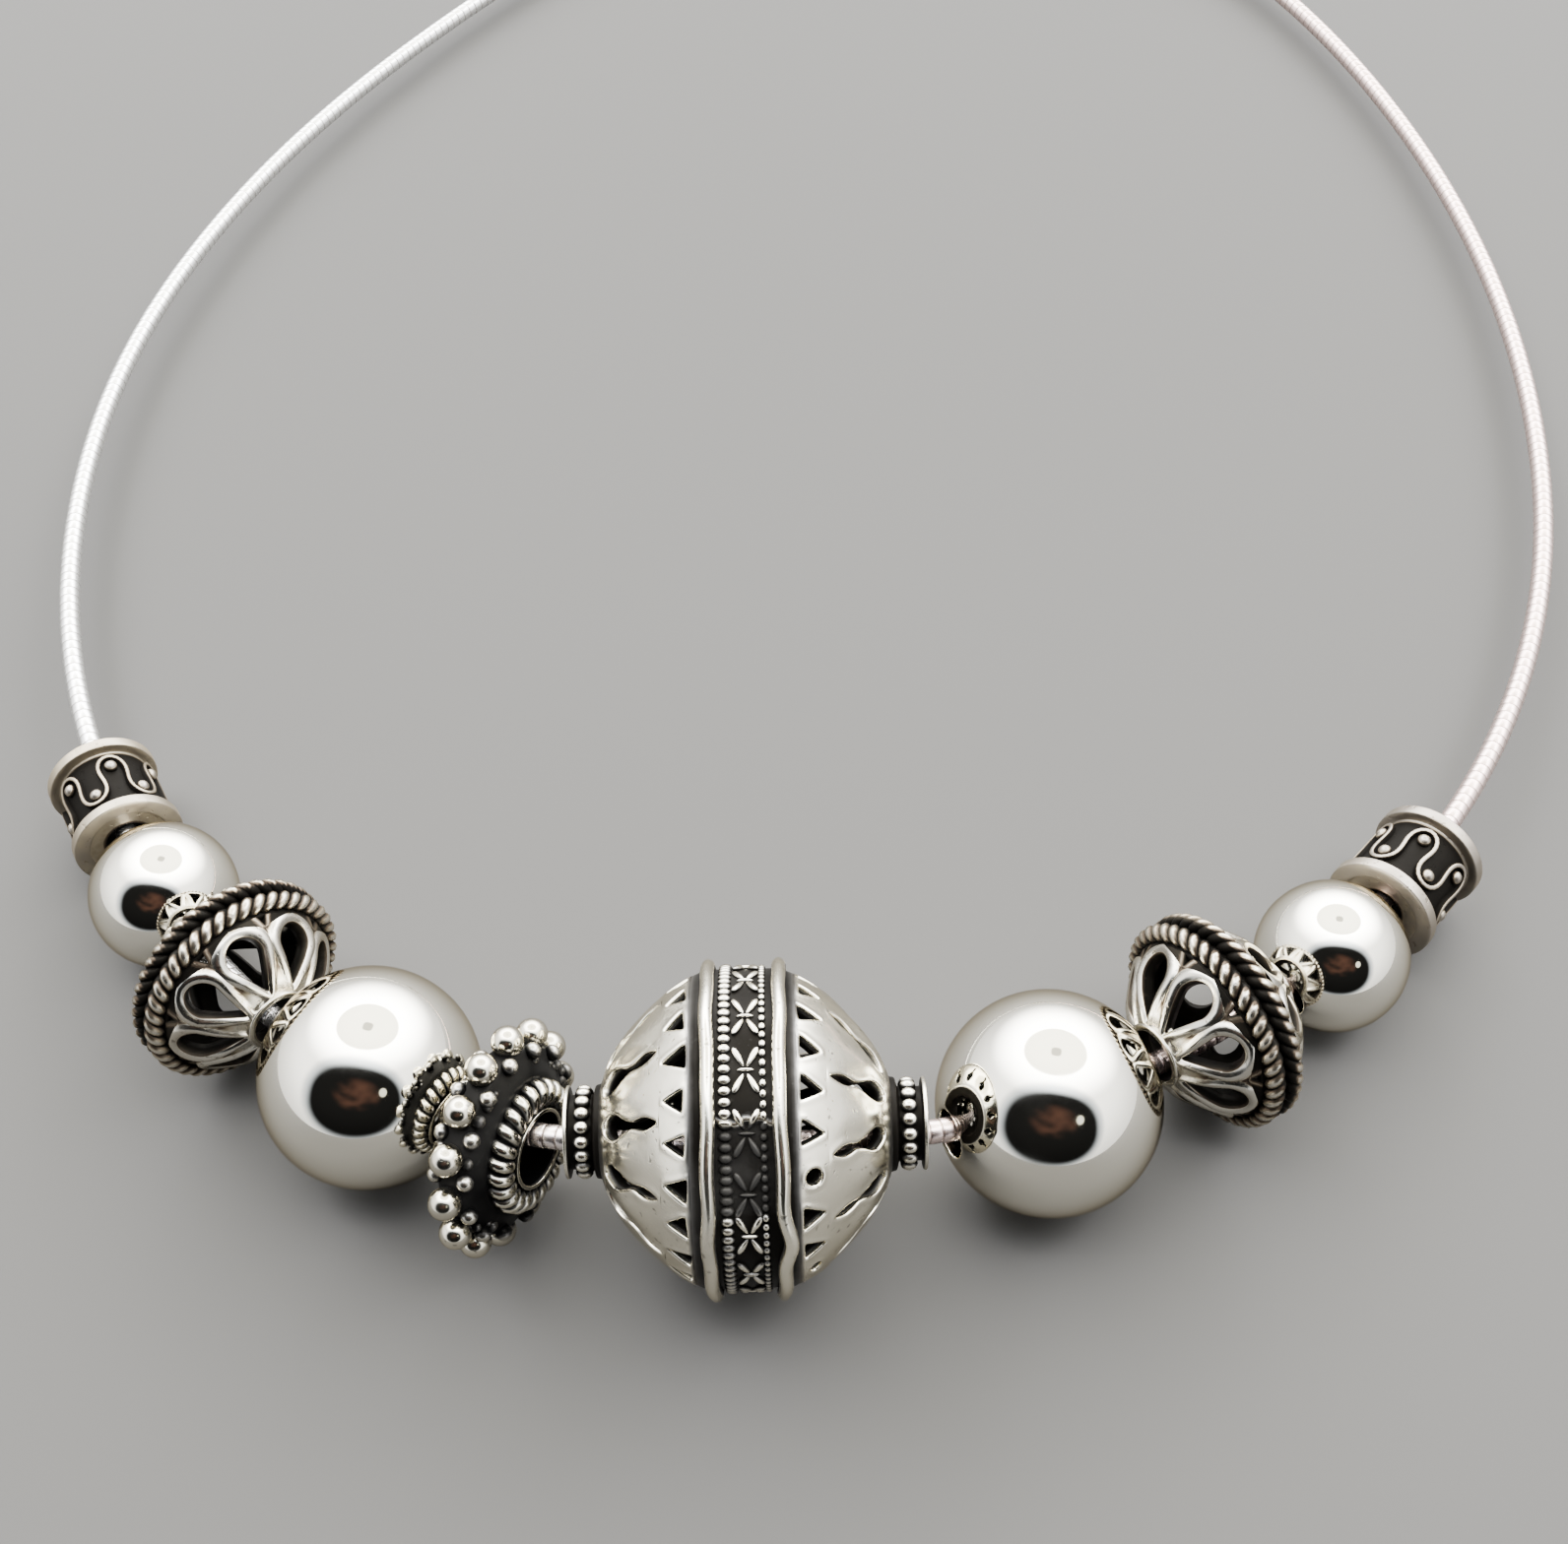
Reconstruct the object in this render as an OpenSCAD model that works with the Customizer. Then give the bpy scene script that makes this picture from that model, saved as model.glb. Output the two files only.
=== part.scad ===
// Beaded choker: silver beads on a segmented neck wire, lying on a table.
// Millimetres. X runs to the right, Y away from the viewer, Z up; the table is Z = 0.
// The big pierced bead is at the front, the clasp at the back.

/* [Neck wire] */
// Diameter of the neck wire
wire_d = 1.5; // [1.2:0.1:1.6]
// Bore left round the wire in the balls and barrels
bore_d = 3; // [2.9:0.1:3.2]

/* [Balls] */
// Diameter of the two large balls
large_ball_d = 14; // [13.6:0.1:14.2]
// Diameter of the two small balls
small_ball_d = 10; // [9.6:0.1:10.4]

/* [Centre bead] */
// Radius of the bead at its band
centre_r = 9.6; // [9.4:0.1:9.8]
// Radius to which the two pierced domes are curved
dome_r = 9.9; // [9.8:0.05:10]
// Thickness of its sheet wall
centre_wall = 0.8; // [0.6:0.1:1]
// Length over the two collars
centre_len = 21.4; // [21.2:0.1:21.8]
// Triangular holes on each side of the band
triangle_count = 22; // [16:1:24]
// Keyhole slits round each pole
slit_count = 11; // [8:1:11]
// Crosses round the band
cross_count = 17; // [14:1:18]

/* [Saucer beads] */
// Radius over the rope rings
saucer_r = 7.1; // [7:0.1:7.2]
// Length over the two collars
saucer_len = 9.6; // [9.4:0.1:9.8]
// Petals on each half
petal_count = 8; // [7:1:8]

/* [Granulated spacer] */
// Large granules round the rim
granule_count = 14; // [12:1:14]
// Radius of a large granule
granule_r = 1; // [0.9:0.05:1.1]

/* [Barrel beads] */
// Radius of the two end flanges
barrel_r = 3.8; // [3.7:0.1:3.9]
// Length over the flanges
barrel_len = 6.8; // [6.4:0.1:7]
// Waves of the serpentine wire
wave_count = 6; // [5:1:6]

/* [Clasp] */
// Outer diameter of the plain clasp
clasp_d = 3.2; // [3:0.1:3.4]
// Length of the clasp
clasp_len = 12; // [10:0.5:13]

/* [Hidden] */
$fn = 48;

SILVER = "silver";
DARK_SILVER = "dimgray";
WHITE_SILVER = "gainsboro";

// Route of the wire: corners [x, y, z] of a closed smooth curve, from the middle of the
// front to the right and round the back
route = [
    [8, -72.7, 12.3], [26, -65.7, 6.7], [42, -51.8, 6], [53, -34.3, 3.8],
    [58.5, -14.8, 3], [58.5, 5.7, 2.5], [54.5, 26.2, 2], [46.5, 46.2, 1.7],
    [35, 64.2, 1.6], [21, 76.2, 1.6], [7, 79.2, 1.6], [-7, 79.2, 1.6],
    [-20.5, 76.2, 1.6], [-34, 64.2, 1.6], [-45, 46.2, 1.7], [-54, 26.2, 2],
    [-58.5, 5.7, 2.5], [-58.5, -12.8, 3], [-53.5, -31.8, 3.8], [-45, -47.3, 4.2],
    [-32, -61.4, 5.9], [-13, -73.1, 7.8]
];
wire_sides = 8;
wire_rings = 80;
samples = 12;

// Smooth closed curve through the route: a uniform cubic B-spline
function corner(i) = route[(i + len(route)) % len(route)];
function spline(i, t) = (
    pow(1 - t, 3) * corner(i - 1)
    + (3 * pow(t, 3) - 6 * t * t + 4) * corner(i)
    + (-3 * pow(t, 3) + 3 * t * t + 3 * t + 1) * corner(i + 1)
    + pow(t, 3) * corner(i + 2)
) / 6;
curve = [for (i = [0:len(route) - 1], k = [0:samples - 1]) spline(i, k / samples)];
curve_n = len(curve);
// Distance along the curve at every sample, and the three coordinates against it
reach = [for (i = 0, s = 0; i <= curve_n; s = s + norm(curve[(i + 1) % curve_n] - curve[i % curve_n]), i = i + 1) s];
loop_len = reach[curve_n];
along = [for (axis = [0:2]) [for (i = [0:curve_n]) [reach[i], curve[i % curve_n][axis]]]];
function wrap(s) = s - loop_len * floor(s / loop_len);
function wire_point(s) = [for (axis = [0:2]) lookup(wrap(s), along[axis])];
function unit(v) = v / norm(v);
function wire_dir(s) = unit(wire_point(s + 0.5) - wire_point(s - 0.5));

// Where the beads sit, as distances along the wire from the middle of the front
centre_at = 0.6;
right_gap = 1.6;
left_gap = 1.75;
coil_gap = 0.45;
nest_gap = 0.4;
touch_gap = 0.6;
barrel_gap_right = 0.3;
barrel_gap_left = 0.9;
spacer_half = 2.75;
large_right_at = centre_at + centre_len / 2 + right_gap + large_ball_d / 2;
saucer_right_at = large_right_at + large_ball_d / 2 + nest_gap + saucer_len / 2;
small_right_at = saucer_right_at + saucer_len / 2 + touch_gap + small_ball_d / 2;
barrel_right_at = small_right_at + small_ball_d / 2 + barrel_gap_right + barrel_len / 2;
spacer_at = centre_at - centre_len / 2 - left_gap - spacer_half;
large_left_at = spacer_at - spacer_half - coil_gap - large_ball_d / 2;
saucer_left_at = large_left_at - large_ball_d / 2 - nest_gap - saucer_len / 2;
small_left_at = saucer_left_at - saucer_len / 2 - touch_gap - small_ball_d / 2;
barrel_left_at = small_left_at - small_ball_d / 2 - barrel_gap_left - barrel_len / 2;

// Height of a bead's middle: it stands on the table, or hangs from the wire by its play
function seat(s, radius, play) = max(radius, wire_point(s).z - play);

// Puts a bead on the wire: its own Z runs along the wire, its middle stands at height rest_z
// and may hang off the wire sideways; turn and tip lean it off the wire's direction
module on_wire(s, rest_z, side = 0, turn = 0, tip = 0, spin = 0) {
    p = wire_point(s);
    d = wire_dir(s);
    heading = atan2(d.y, d.x);
    climb = asin(d.z);
    translate([p.x - side * sin(heading), p.y + side * cos(heading), rest_z])
        rotate([0, 90 - climb - tip, heading + turn])
            rotate([0, 0, spin])
                children();
}

// Tube swept along a list of points; the section at each point lies square to the path,
// between a given sideways direction and the one square to it
module sweep(path, sideways, radius, sides, closed = false) {
    n = len(path);
    function ahead(i) = closed ? path[(i + 1) % n] : path[min(i + 1, n - 1)];
    function behind(i) = closed ? path[(i + n - 1) % n] : path[max(i - 1, 0)];
    points = [
        for (i = [0:n - 1], k = [0:sides - 1])
            let (
                a = 360 * k / sides,
                other = cross(unit(ahead(i) - behind(i)), sideways[i])
            )
                path[i] + radius * (cos(a) * sideways[i] + sin(a) * other)
    ];
    last = closed ? n - 1 : n - 2;
    skin = [
        for (i = [0:last], k = [0:sides - 1])
            let (j = (i + 1) % n, m = (k + 1) % sides)
                [i * sides + k, j * sides + k, j * sides + m, i * sides + m]
    ];
    caps = closed ? [] : [
        [for (k = [0:sides - 1]) k],
        [for (k = [0:sides - 1]) n * sides - 1 - k]
    ];
    polyhedron(points, concat(skin, caps), convexity = 10);
}

module bore(radius, length) {
    cylinder(r = radius, h = length, center = true);
}

// The segmented neck wire, from one socket of the clasp round the front to the other
socket_depth = 3;
socket_room = 0.3;
clasp_at = loop_len / 2 - 6;
module neck_wire() {
    span = loop_len - clasp_len + 2 * (socket_depth - socket_room);
    start = clasp_at - loop_len / 2 - span / 2;
    stations = [for (i = [0:wire_rings - 1]) start + span * i / (wire_rings - 1)];
    path = [for (s = stations) wire_point(s)];
    sideways = [for (s = stations) unit(cross([0, 0, 1], wire_dir(s)))];
    color(WHITE_SILVER)
        sweep(path, sideways, wire_d / 2, wire_sides);
}

// A plain round-ended clasp with a socket for each end of the wire
module clasp() {
    socket_r = wire_d / 2 + socket_room;
    end_r = clasp_d / 2 - 0.4;
    color(SILVER)
        on_wire(clasp_at, clasp_d / 2, side = 0.15)
            difference() {
                union() {
                    bore(clasp_d / 2, clasp_len - 1);
                    bore(end_r, clasp_len);
                }
                for (end = [-1, 1])
                    translate([0, 0, end * clasp_len / 2])
                        bore(socket_r, 2 * socket_depth);
            }
}

module ball(diameter) {
    color(SILVER)
        difference() {
            sphere(d = diameter);
            bore(bore_d / 2, diameter + 1);
        }
}

ball_play = 0.45;
module strung_ball(s, diameter, side = 0) {
    on_wire(s, seat(s, diameter / 2, ball_play), side)
        ball(diameter);
}

module large_ball_left() { strung_ball(large_left_at, large_ball_d, side = 0.5); }
module large_ball_right() { strung_ball(large_right_at, large_ball_d, side = 0.4); }
module small_ball_left() { strung_ball(small_left_at, small_ball_d, side = 0.1); }
module small_ball_right() { strung_ball(small_right_at, small_ball_d, side = -0.2); }

// Centre bead: two pierced domes, a band between two round ridges, and a collar at each end
ridge_at = 2.2;
ridge_r = 0.55;
// The beaded wires and the crosses between the ridges, along the bead
band_wires = [-1, 1.15];
cross_at = 0.2;
ridge_top = centre_r + 0.5;
strip_r = centre_r - 0.1;
collar_r = 2.75;
collar_bore_r = 1.75;
neck_r = 2.2;
dome_end = 8.6;
// Each dome is curved about a point this far past the middle, so the bead is a little pointed
dome_shift = 0.9;
triangle_polar = 60.9;
slit_polar = 38.2;
end_plate = 0.35;
// The bead tips a little, so its middle stands this much higher
centre_lift = 0.07;
// The two domes were pierced separately and are turned a little against each other
dome_turn = [20, 7];

// A prism pushed out through the wall at an angle from the bead's axis
module through_wall(polar, around, reach_in) {
    rotate([0, 0, around])
        rotate([0, polar, 0])
            translate([0, 0, reach_in])
                linear_extrude(4)
                    children();
}

module triangle_hole() {
    polygon([[0.72, 0.75], [0.72, -0.75], [-0.78, 0]]);
}

// Keyhole slit: a wide mouth towards the pole, a narrow neck and a long pointed leaf
module slit_hole() {
    polygon([
        [-2.6, 0], [-2.2, -0.55], [-1.5, -0.75], [-0.9, -0.68], [-0.2, -0.3], [0.3, -0.18],
        [0.8, -0.32], [1.4, -0.4], [2.6, 0], [1.4, 0.4], [0.8, 0.32], [0.3, 0.18],
        [-0.2, 0.3], [-0.9, 0.68], [-1.5, 0.75], [-2.2, 0.55]
    ]);
}

module ring(ring_r, section_r) {
    rotate_extrude()
        translate([ring_r, 0])
            circle(r = section_r);
}

module centre_collar() {
    granules = 18;
    granule_z = (dome_end + 0.3 + centre_len / 2 - end_plate) / 2;
    translate([0, 0, dome_end - 0.3])
        cylinder(r = neck_r, h = centre_len / 2 - dome_end + 0.1);
    translate([0, 0, dome_end - 0.1])
        cylinder(r = collar_r, h = 0.4);
    translate([0, 0, centre_len / 2 - end_plate])
        cylinder(r = collar_r, h = end_plate);
    for (i = [0:granules - 1])
        rotate([0, 0, 360 * i / granules])
            translate([neck_r + 0.15, 0, granule_z])
                sphere(r = 0.42, $fn = 24);
}

module cross_mark() {
    for (lean = [-25, 25])
        rotate([lean, 0, 0])
            cube([0.8, 0.36, 3.1], center = true);
}

module centre_band() {
    difference() {
        bore(strip_r, 2 * ridge_at);
        bore(centre_r - centre_wall, 2 * ridge_at + 1);
    }
    for (end = [-1, 1])
        translate([0, 0, end * ridge_at])
            ring(ridge_top - ridge_r, ridge_r);
    for (at = band_wires)
        translate([0, 0, at])
            ring(strip_r, 0.24);
    for (i = [0:cross_count - 1])
        rotate([0, 0, 360 * i / cross_count])
            translate([strip_r - 0.15, 0, cross_at])
                rotate([90, 0, 0])
                    cross_mark();
}

// One dome, from inside the ridge to the flat under its collar
module pierced_dome(turn) {
    difference() {
        translate([0, 0, -dome_shift])
            difference() {
                sphere(r = dome_r, $fn = 96);
                sphere(r = dome_r - centre_wall, $fn = 96);
                rotate([0, 0, turn]) {
                    for (i = [0:triangle_count - 1])
                        through_wall(triangle_polar, 360 * (i + 0.5) / triangle_count, 7.5)
                            triangle_hole();
                    for (i = [0:slit_count - 1])
                        through_wall(slit_polar, 360 * i / slit_count, 7.5)
                            slit_hole();
                }
            }
        translate([0, 0, dome_end])
            cylinder(r = dome_r, h = 2);
        translate([0, 0, ridge_at - 0.3 - 2 * dome_r])
            cylinder(r = dome_r + 1, h = 2 * dome_r);
    }
}

module centre_bead() {
    color(DARK_SILVER)
        on_wire(centre_at, ridge_top + centre_lift, side = 1.3, tip = 1.4)
            difference() {
                union() {
                    for (end = [0, 1])
                        mirror([0, 0, end]) {
                            pierced_dome(dome_turn[end]);
                            centre_collar();
                        }
                    centre_band();
                }
                bore(collar_bore_r, centre_len + 1);
            }
}

// Granulated spacer: a pierced disc, a coiled ring on each face, large granules round the rim
// and a small one in each valley between them on both faces
spacer_hole_r = 2.3;
spacer_play = 1.25;
coil_r = 0.95;
coil_ring_r = 3.3;
granule_ring_r = 6.45;
fine_granule_r = 0.42;
fine_ring_r = 5.75;
module granule_spacer() {
    pitch = 360 / granule_count;
    rest = seat(spacer_at, granule_ring_r + granule_r, spacer_play);
    color(DARK_SILVER)
        on_wire(spacer_at, rest, turn = -6, spin = 12)
            difference() {
                union() {
                    rotate_extrude()
                        polygon([[2, -1.5], [4.4, -1.5], [5.9, -0.75], [5.9, 0.75], [4.4, 1.5], [2, 1.5]]);
                    for (i = [0:granule_count - 1])
                        rotate([0, 0, i * pitch])
                            translate([granule_ring_r, 0, 0])
                                sphere(r = granule_r, $fn = 32);
                    for (end = [-1, 1]) {
                        translate([0, 0, end * (spacer_half - coil_r)])
                            ring(coil_ring_r, coil_r);
                        for (i = [0:granule_count - 1])
                            rotate([0, 0, (i + 0.5) * pitch])
                                translate([fine_ring_r, 0, end])
                                    sphere(r = fine_granule_r, $fn = 24);
                    }
                }
                bore(spacer_hole_r, 8);
            }
}

// Saucer bead: two openwork domes of petals, two rope rings at the rim, a collar at each end
cap_r = 7;
cap_back = 2.2;
cap_wall = 0.9;
rope_r = 0.62;
rope_at = 0.7;
rope_strands = 40;
saucer_collar_r = 2.15;
saucer_bore_r = 1.7;
// The wire climbs through the saucers, so they stand this much higher than their radius
saucer_lift = 0.05;

// Teardrop gap of one petal, pointed towards the collar
module petal_hole() {
    round_r = 1.3;
    polygon(concat(
        [[-2.3, 0]],
        [for (a = [-100:20:100]) [0.8 + round_r * cos(a), round_r * sin(a)]]
    ));
}

module rim_hole() {
    polygon([[0.45, 0.5], [0.45, -0.5], [-0.75, 0]]);
}

// Twisted rope ring: the section is two-lobed and turns as it goes round
module rope(ring_r, hand) {
    steps = 3 * rope_strands;
    sides = 8;
    points = [
        for (i = [0:steps - 1], k = [0:sides - 1])
            let (
                a = 360 * i / steps,
                b = 360 * k / sides,
                lobe = 0.5 + 0.5 * cos(2 * b - hand * a * rope_strands),
                r = rope_r * (0.78 + 0.22 * lobe),
                w = ring_r + r * cos(b)
            )
                [w * cos(a), w * sin(a), r * sin(b)]
    ];
    faces = [
        for (i = [0:steps - 1], k = [0:sides - 1])
            let (j = (i + 1) % steps, m = (k + 1) % sides)
                [i * sides + k, i * sides + m, j * sides + m, j * sides + k]
    ];
    polyhedron(points, faces, convexity = 10);
}

module saucer_half() {
    difference() {
        translate([0, 0, -cap_back])
            difference() {
                sphere(r = cap_r, $fn = 64);
                sphere(r = cap_r - cap_wall, $fn = 64);
                for (i = [0:petal_count - 1]) {
                    through_wall(37, 360 * i / petal_count, 4.5)
                        petal_hole();
                    through_wall(60, 360 * (i + 0.5) / petal_count, 4.5)
                        rim_hole();
                }
            }
        translate([0, 0, -20])
            cylinder(r = 10, h = 20.2);
        translate([0, 0, saucer_len / 2 - 0.5])
            cylinder(r = 4, h = 4);
    }
    translate([0, 0, saucer_len / 2 - 1.1])
        cylinder(r = saucer_collar_r, h = 1.1);
}

module saucer() {
    color(DARK_SILVER)
        difference() {
            union() {
                for (end = [0, 1])
                    mirror([0, 0, end])
                        saucer_half();
                difference() {
                    bore(saucer_r - 0.75, 1.9);
                    bore(saucer_r - 1.5, 3);
                }
                for (end = [-1, 1])
                    translate([0, 0, end * rope_at])
                        rope(saucer_r - rope_r, end);
            }
            bore(saucer_bore_r, saucer_len + 1);
        }
}

module saucer_left() { on_wire(saucer_left_at, saucer_r + saucer_lift, side = 0.1, spin = -6) saucer(); }
module saucer_right() { on_wire(saucer_right_at, saucer_r + saucer_lift, side = 0.4) saucer(); }

// Barrel bead: two flanges, a dark drum with a raised serpentine wire and a granule in each bend
flange_h = 0.8;
drum_r = 3.1;
recess_r = 2.7;
recess_depth = 0.45;
serpentine_r = 0.3;
module barrel() {
    half = barrel_len / 2;
    // The wire runs in round bends joined by straight runs, two bends to a wave
    bends = 2 * wave_count;
    ring_r = drum_r + 0.12;
    bend_r = PI * ring_r / bends;
    run = half - flange_h - serpentine_r - bend_r - 0.1;
    flat = [
        for (i = [0:bends - 1], a = [180:-45:0])
            let (way = i % 2 == 0 ? 1 : -1)
                [360 * (i + 0.5 + 0.5 * cos(a)) / bends, way * (run + bend_r * sin(a))]
    ];
    path = [for (p = flat) [ring_r * cos(p[0]), ring_r * sin(p[0]), p[1]]];
    outward = [for (p = flat) [cos(p[0]), sin(p[0]), 0]];
    color(DARK_SILVER)
        difference() {
            union() {
                union() {
                    bore(drum_r, barrel_len - 0.2);
                    for (end = [-1, 1])
                        translate([0, 0, end * (half - flange_h / 2)])
                            bore(barrel_r, flange_h);
                    for (i = [0:bends - 1])
                        rotate([0, 0, 360 * (i + 0.5) / bends])
                            translate([drum_r + 0.05, 0, (i % 2 == 0 ? run : -run)])
                                sphere(r = 0.4, $fn = 24);
                }
                sweep(path, outward, serpentine_r, 6, closed = true);
            }
            for (end = [-1, 1])
                translate([0, 0, end * half])
                    bore(recess_r, 2 * recess_depth);
            bore(bore_d / 2, barrel_len + 1);
        }
}

// The barrels follow the wire's slope and hang from it by their play
barrel_play = 0.5;
barrel_lift = 0.2;
module strung_barrel(s, spin) {
    on_wire(s, seat(s, barrel_r + barrel_lift, barrel_play), spin = spin)
        barrel();
}

module barrel_left() { strung_barrel(barrel_left_at, spin = -3); }
module barrel_right() { strung_barrel(barrel_right_at, spin = -18); }

neck_wire();
clasp();
centre_bead();
granule_spacer();
large_ball_left();
large_ball_right();
saucer_left();
saucer_right();
small_ball_left();
small_ball_right();
barrel_left();
barrel_right();
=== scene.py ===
# %% [markdown]
# # A beaded choker lying on a table
# The choker is a stiff segmented wire bent into a loop, with silver beads strung at the front: a pierced
# round bead, a granulated spacer, polished balls, openwork saucers and small barrels. The packed CAD part
# fixes where every bead sits and how big it is. This lesson gives each bead the form and the finish that a
# silversmith gives it, in the same frame and in metres.

# %% The frame
import math
from collections import namedtuple

import bpy
import numpy as np
from mathutils import Matrix


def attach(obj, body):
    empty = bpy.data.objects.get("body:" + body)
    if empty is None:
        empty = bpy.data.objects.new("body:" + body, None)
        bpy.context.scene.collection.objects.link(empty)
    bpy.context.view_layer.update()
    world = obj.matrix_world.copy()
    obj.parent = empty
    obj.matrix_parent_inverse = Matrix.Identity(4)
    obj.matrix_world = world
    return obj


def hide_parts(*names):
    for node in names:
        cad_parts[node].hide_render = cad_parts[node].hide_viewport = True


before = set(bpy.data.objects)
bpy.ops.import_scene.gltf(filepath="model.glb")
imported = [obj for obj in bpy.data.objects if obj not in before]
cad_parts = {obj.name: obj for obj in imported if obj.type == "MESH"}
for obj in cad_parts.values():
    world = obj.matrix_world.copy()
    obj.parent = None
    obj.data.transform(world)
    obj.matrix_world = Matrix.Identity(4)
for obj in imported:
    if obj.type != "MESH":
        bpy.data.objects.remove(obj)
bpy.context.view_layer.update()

MM = 0.001
chance = np.random.default_rng(7)
scene = bpy.context.scene
print("nodes:", sorted(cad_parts))

# %% [markdown]
# ## The camera
# A product picture is taken from above and in front. The lens is given for the long side of the picture,
# and the camera is aimed by three angles: how far it looks down, how far it is turned, and its roll. The
# three columns of its rotation are its right, its up and its backward direction.

# %% The camera
LENS, PITCH, YAW, ROLL = 46.27, 54.6, -12.6, -3.1
EYE = np.array([22.6, -120.7, 120.4])


def camera_axes(pitch, yaw, roll):
    """Right, up and forward of a camera that looks down by pitch, turned by yaw and rolled by roll."""
    p, y, r = np.radians([pitch, yaw, roll])
    forward = np.array([np.sin(y) * np.cos(p), np.cos(y) * np.cos(p), -np.sin(p)])
    right = np.array([np.cos(y), -np.sin(y), 0.0])
    up = np.cross(right, forward)
    return right * np.cos(r) + up * np.sin(r), up * np.cos(r) - right * np.sin(r), forward


right, up, forward = camera_axes(PITCH, YAW, ROLL)
lens = bpy.data.cameras.new("picture_camera")
lens.lens, lens.sensor_width = LENS, 36.0
lens.clip_start, lens.clip_end = 0.01, 20.0
camera = bpy.data.objects.new("picture_camera", lens)
scene.collection.objects.link(camera)
turned = Matrix(np.column_stack([right, up, -forward]).tolist()).to_4x4()
turned.translation = (EYE * MM).tolist()
camera.matrix_world = turned
scene.camera = camera
print("camera height %.0f mm" % EYE[2])

# %% [markdown]
# ## The route of the wire
# Every bead is placed by its distance along the wire, so the wire's route comes first. It is the same closed
# smooth curve as in the CAD part: a cubic B-spline, which passes near its corners and has no kinks.

# %% The route of the wire
ROUTE = np.array([
    [8, -72.7, 12.3], [26, -65.7, 6.7], [42, -51.8, 6], [53, -34.3, 3.8],
    [58.5, -14.8, 3], [58.5, 5.7, 2.5], [54.5, 26.2, 2], [46.5, 46.2, 1.7],
    [35, 64.2, 1.6], [21, 76.2, 1.6], [7, 79.2, 1.6], [-7, 79.2, 1.6],
    [-20.5, 76.2, 1.6], [-34, 64.2, 1.6], [-45, 46.2, 1.7], [-54, 26.2, 2],
    [-58.5, 5.7, 2.5], [-58.5, -12.8, 3], [-53.5, -31.8, 3.8], [-45, -47.3, 4.2],
    [-32, -61.4, 5.9], [-13, -73.1, 7.8],
])


def smooth_loop(corners, steps=48):
    """Closed cubic B-spline. Each span mixes four corners with the weights (1-t)^3, 3t^3-6t^2+4,
    -3t^3+3t^2+3t+1 and t^3, all divided by six."""
    t = np.arange(steps) / steps
    weights = np.stack([(1 - t) ** 3, 3 * t**3 - 6 * t**2 + 4, -3 * t**3 + 3 * t**2 + 3 * t + 1, t**3]) / 6
    four = np.stack([np.roll(corners, 1 - k, axis=0) for k in range(4)])
    return np.einsum("ks,kij->isj", weights, four).reshape(-1, 3)


curve = smooth_loop(ROUTE)
curve = np.vstack([curve, curve[:1]])
reach = np.concatenate([[0], np.cumsum(np.linalg.norm(np.diff(curve, axis=0), axis=1))])
loop_len = reach[-1]


def wire_point(s):
    """Point of the wire at distance s from the middle of the front, read off the curve by its length."""
    s = np.mod(s, loop_len)
    return np.stack([np.interp(s, reach, curve[:, axis]) for axis in range(3)], axis=-1)


def unit(v):
    return v / np.linalg.norm(v, axis=-1, keepdims=True)


def wire_dir(s):
    """Direction of the wire at s: the chord over one millimetre."""
    return unit(wire_point(np.asarray(s) + 0.5) - wire_point(np.asarray(s) - 0.5))


print("loop %.1f mm" % loop_len)

# %% [markdown]
# ## Where the beads sit
# Each bead is modelled round its own Z axis, which is its bore, and then laid on the wire. The distances are
# sums of half lengths and gaps, as in the CAD part. A bead stands on the table or hangs from the wire by its
# play, whichever is higher.

# %% Where the beads sit
LARGE_R, SMALL_R, BORE_R = 7.0, 5.0, 1.5
CENTRE_LEN, SAUCER_LEN, BARREL_LEN, SPACER_HALF = 21.4, 9.6, 6.8, 2.75
centre_at = 0.6
large_right_at = centre_at + CENTRE_LEN / 2 + 1.6 + LARGE_R
saucer_right_at = large_right_at + LARGE_R + 0.4 + SAUCER_LEN / 2
small_right_at = saucer_right_at + SAUCER_LEN / 2 + 0.6 + SMALL_R
barrel_right_at = small_right_at + SMALL_R + 0.3 + BARREL_LEN / 2
spacer_at = centre_at - CENTRE_LEN / 2 - 1.75 - SPACER_HALF
large_left_at = spacer_at - SPACER_HALF - 0.45 - LARGE_R
saucer_left_at = large_left_at - LARGE_R - 0.4 - SAUCER_LEN / 2
small_left_at = saucer_left_at - SAUCER_LEN / 2 - 0.6 - SMALL_R
barrel_left_at = small_left_at - SMALL_R - 0.9 - BARREL_LEN / 2


def turn_z(degrees):
    c, s = math.cos(math.radians(degrees)), math.sin(math.radians(degrees))
    return np.array([[c, -s, 0], [s, c, 0], [0, 0, 1.0]])


def turn_y(degrees):
    c, s = math.cos(math.radians(degrees)), math.sin(math.radians(degrees))
    return np.array([[c, 0, s], [0, 1.0, 0], [-s, 0, c]])


def seat(s, radius, play):
    """Height of a bead's middle: on the table, or hanging from the wire by its play."""
    return max(radius, float(wire_point(s)[2]) - play)


def on_wire(s, rest_z, side=0, turn=0, tip=0, spin=0):
    """Rotation and place that lay a bead's Z axis along the wire, a little aside or leaning off it."""
    p, d = wire_point(s), wire_dir(s)
    heading, climb = math.atan2(d[1], d[0]), math.degrees(math.asin(d[2]))
    place = np.array([p[0] - side * math.sin(heading), p[1] + side * math.cos(heading), rest_z])
    return turn_z(math.degrees(heading) + turn) @ turn_y(90 - climb - tip) @ turn_z(spin), place


print("beads from %.1f to %.1f mm along the wire" % (barrel_left_at, barrel_right_at))

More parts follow.
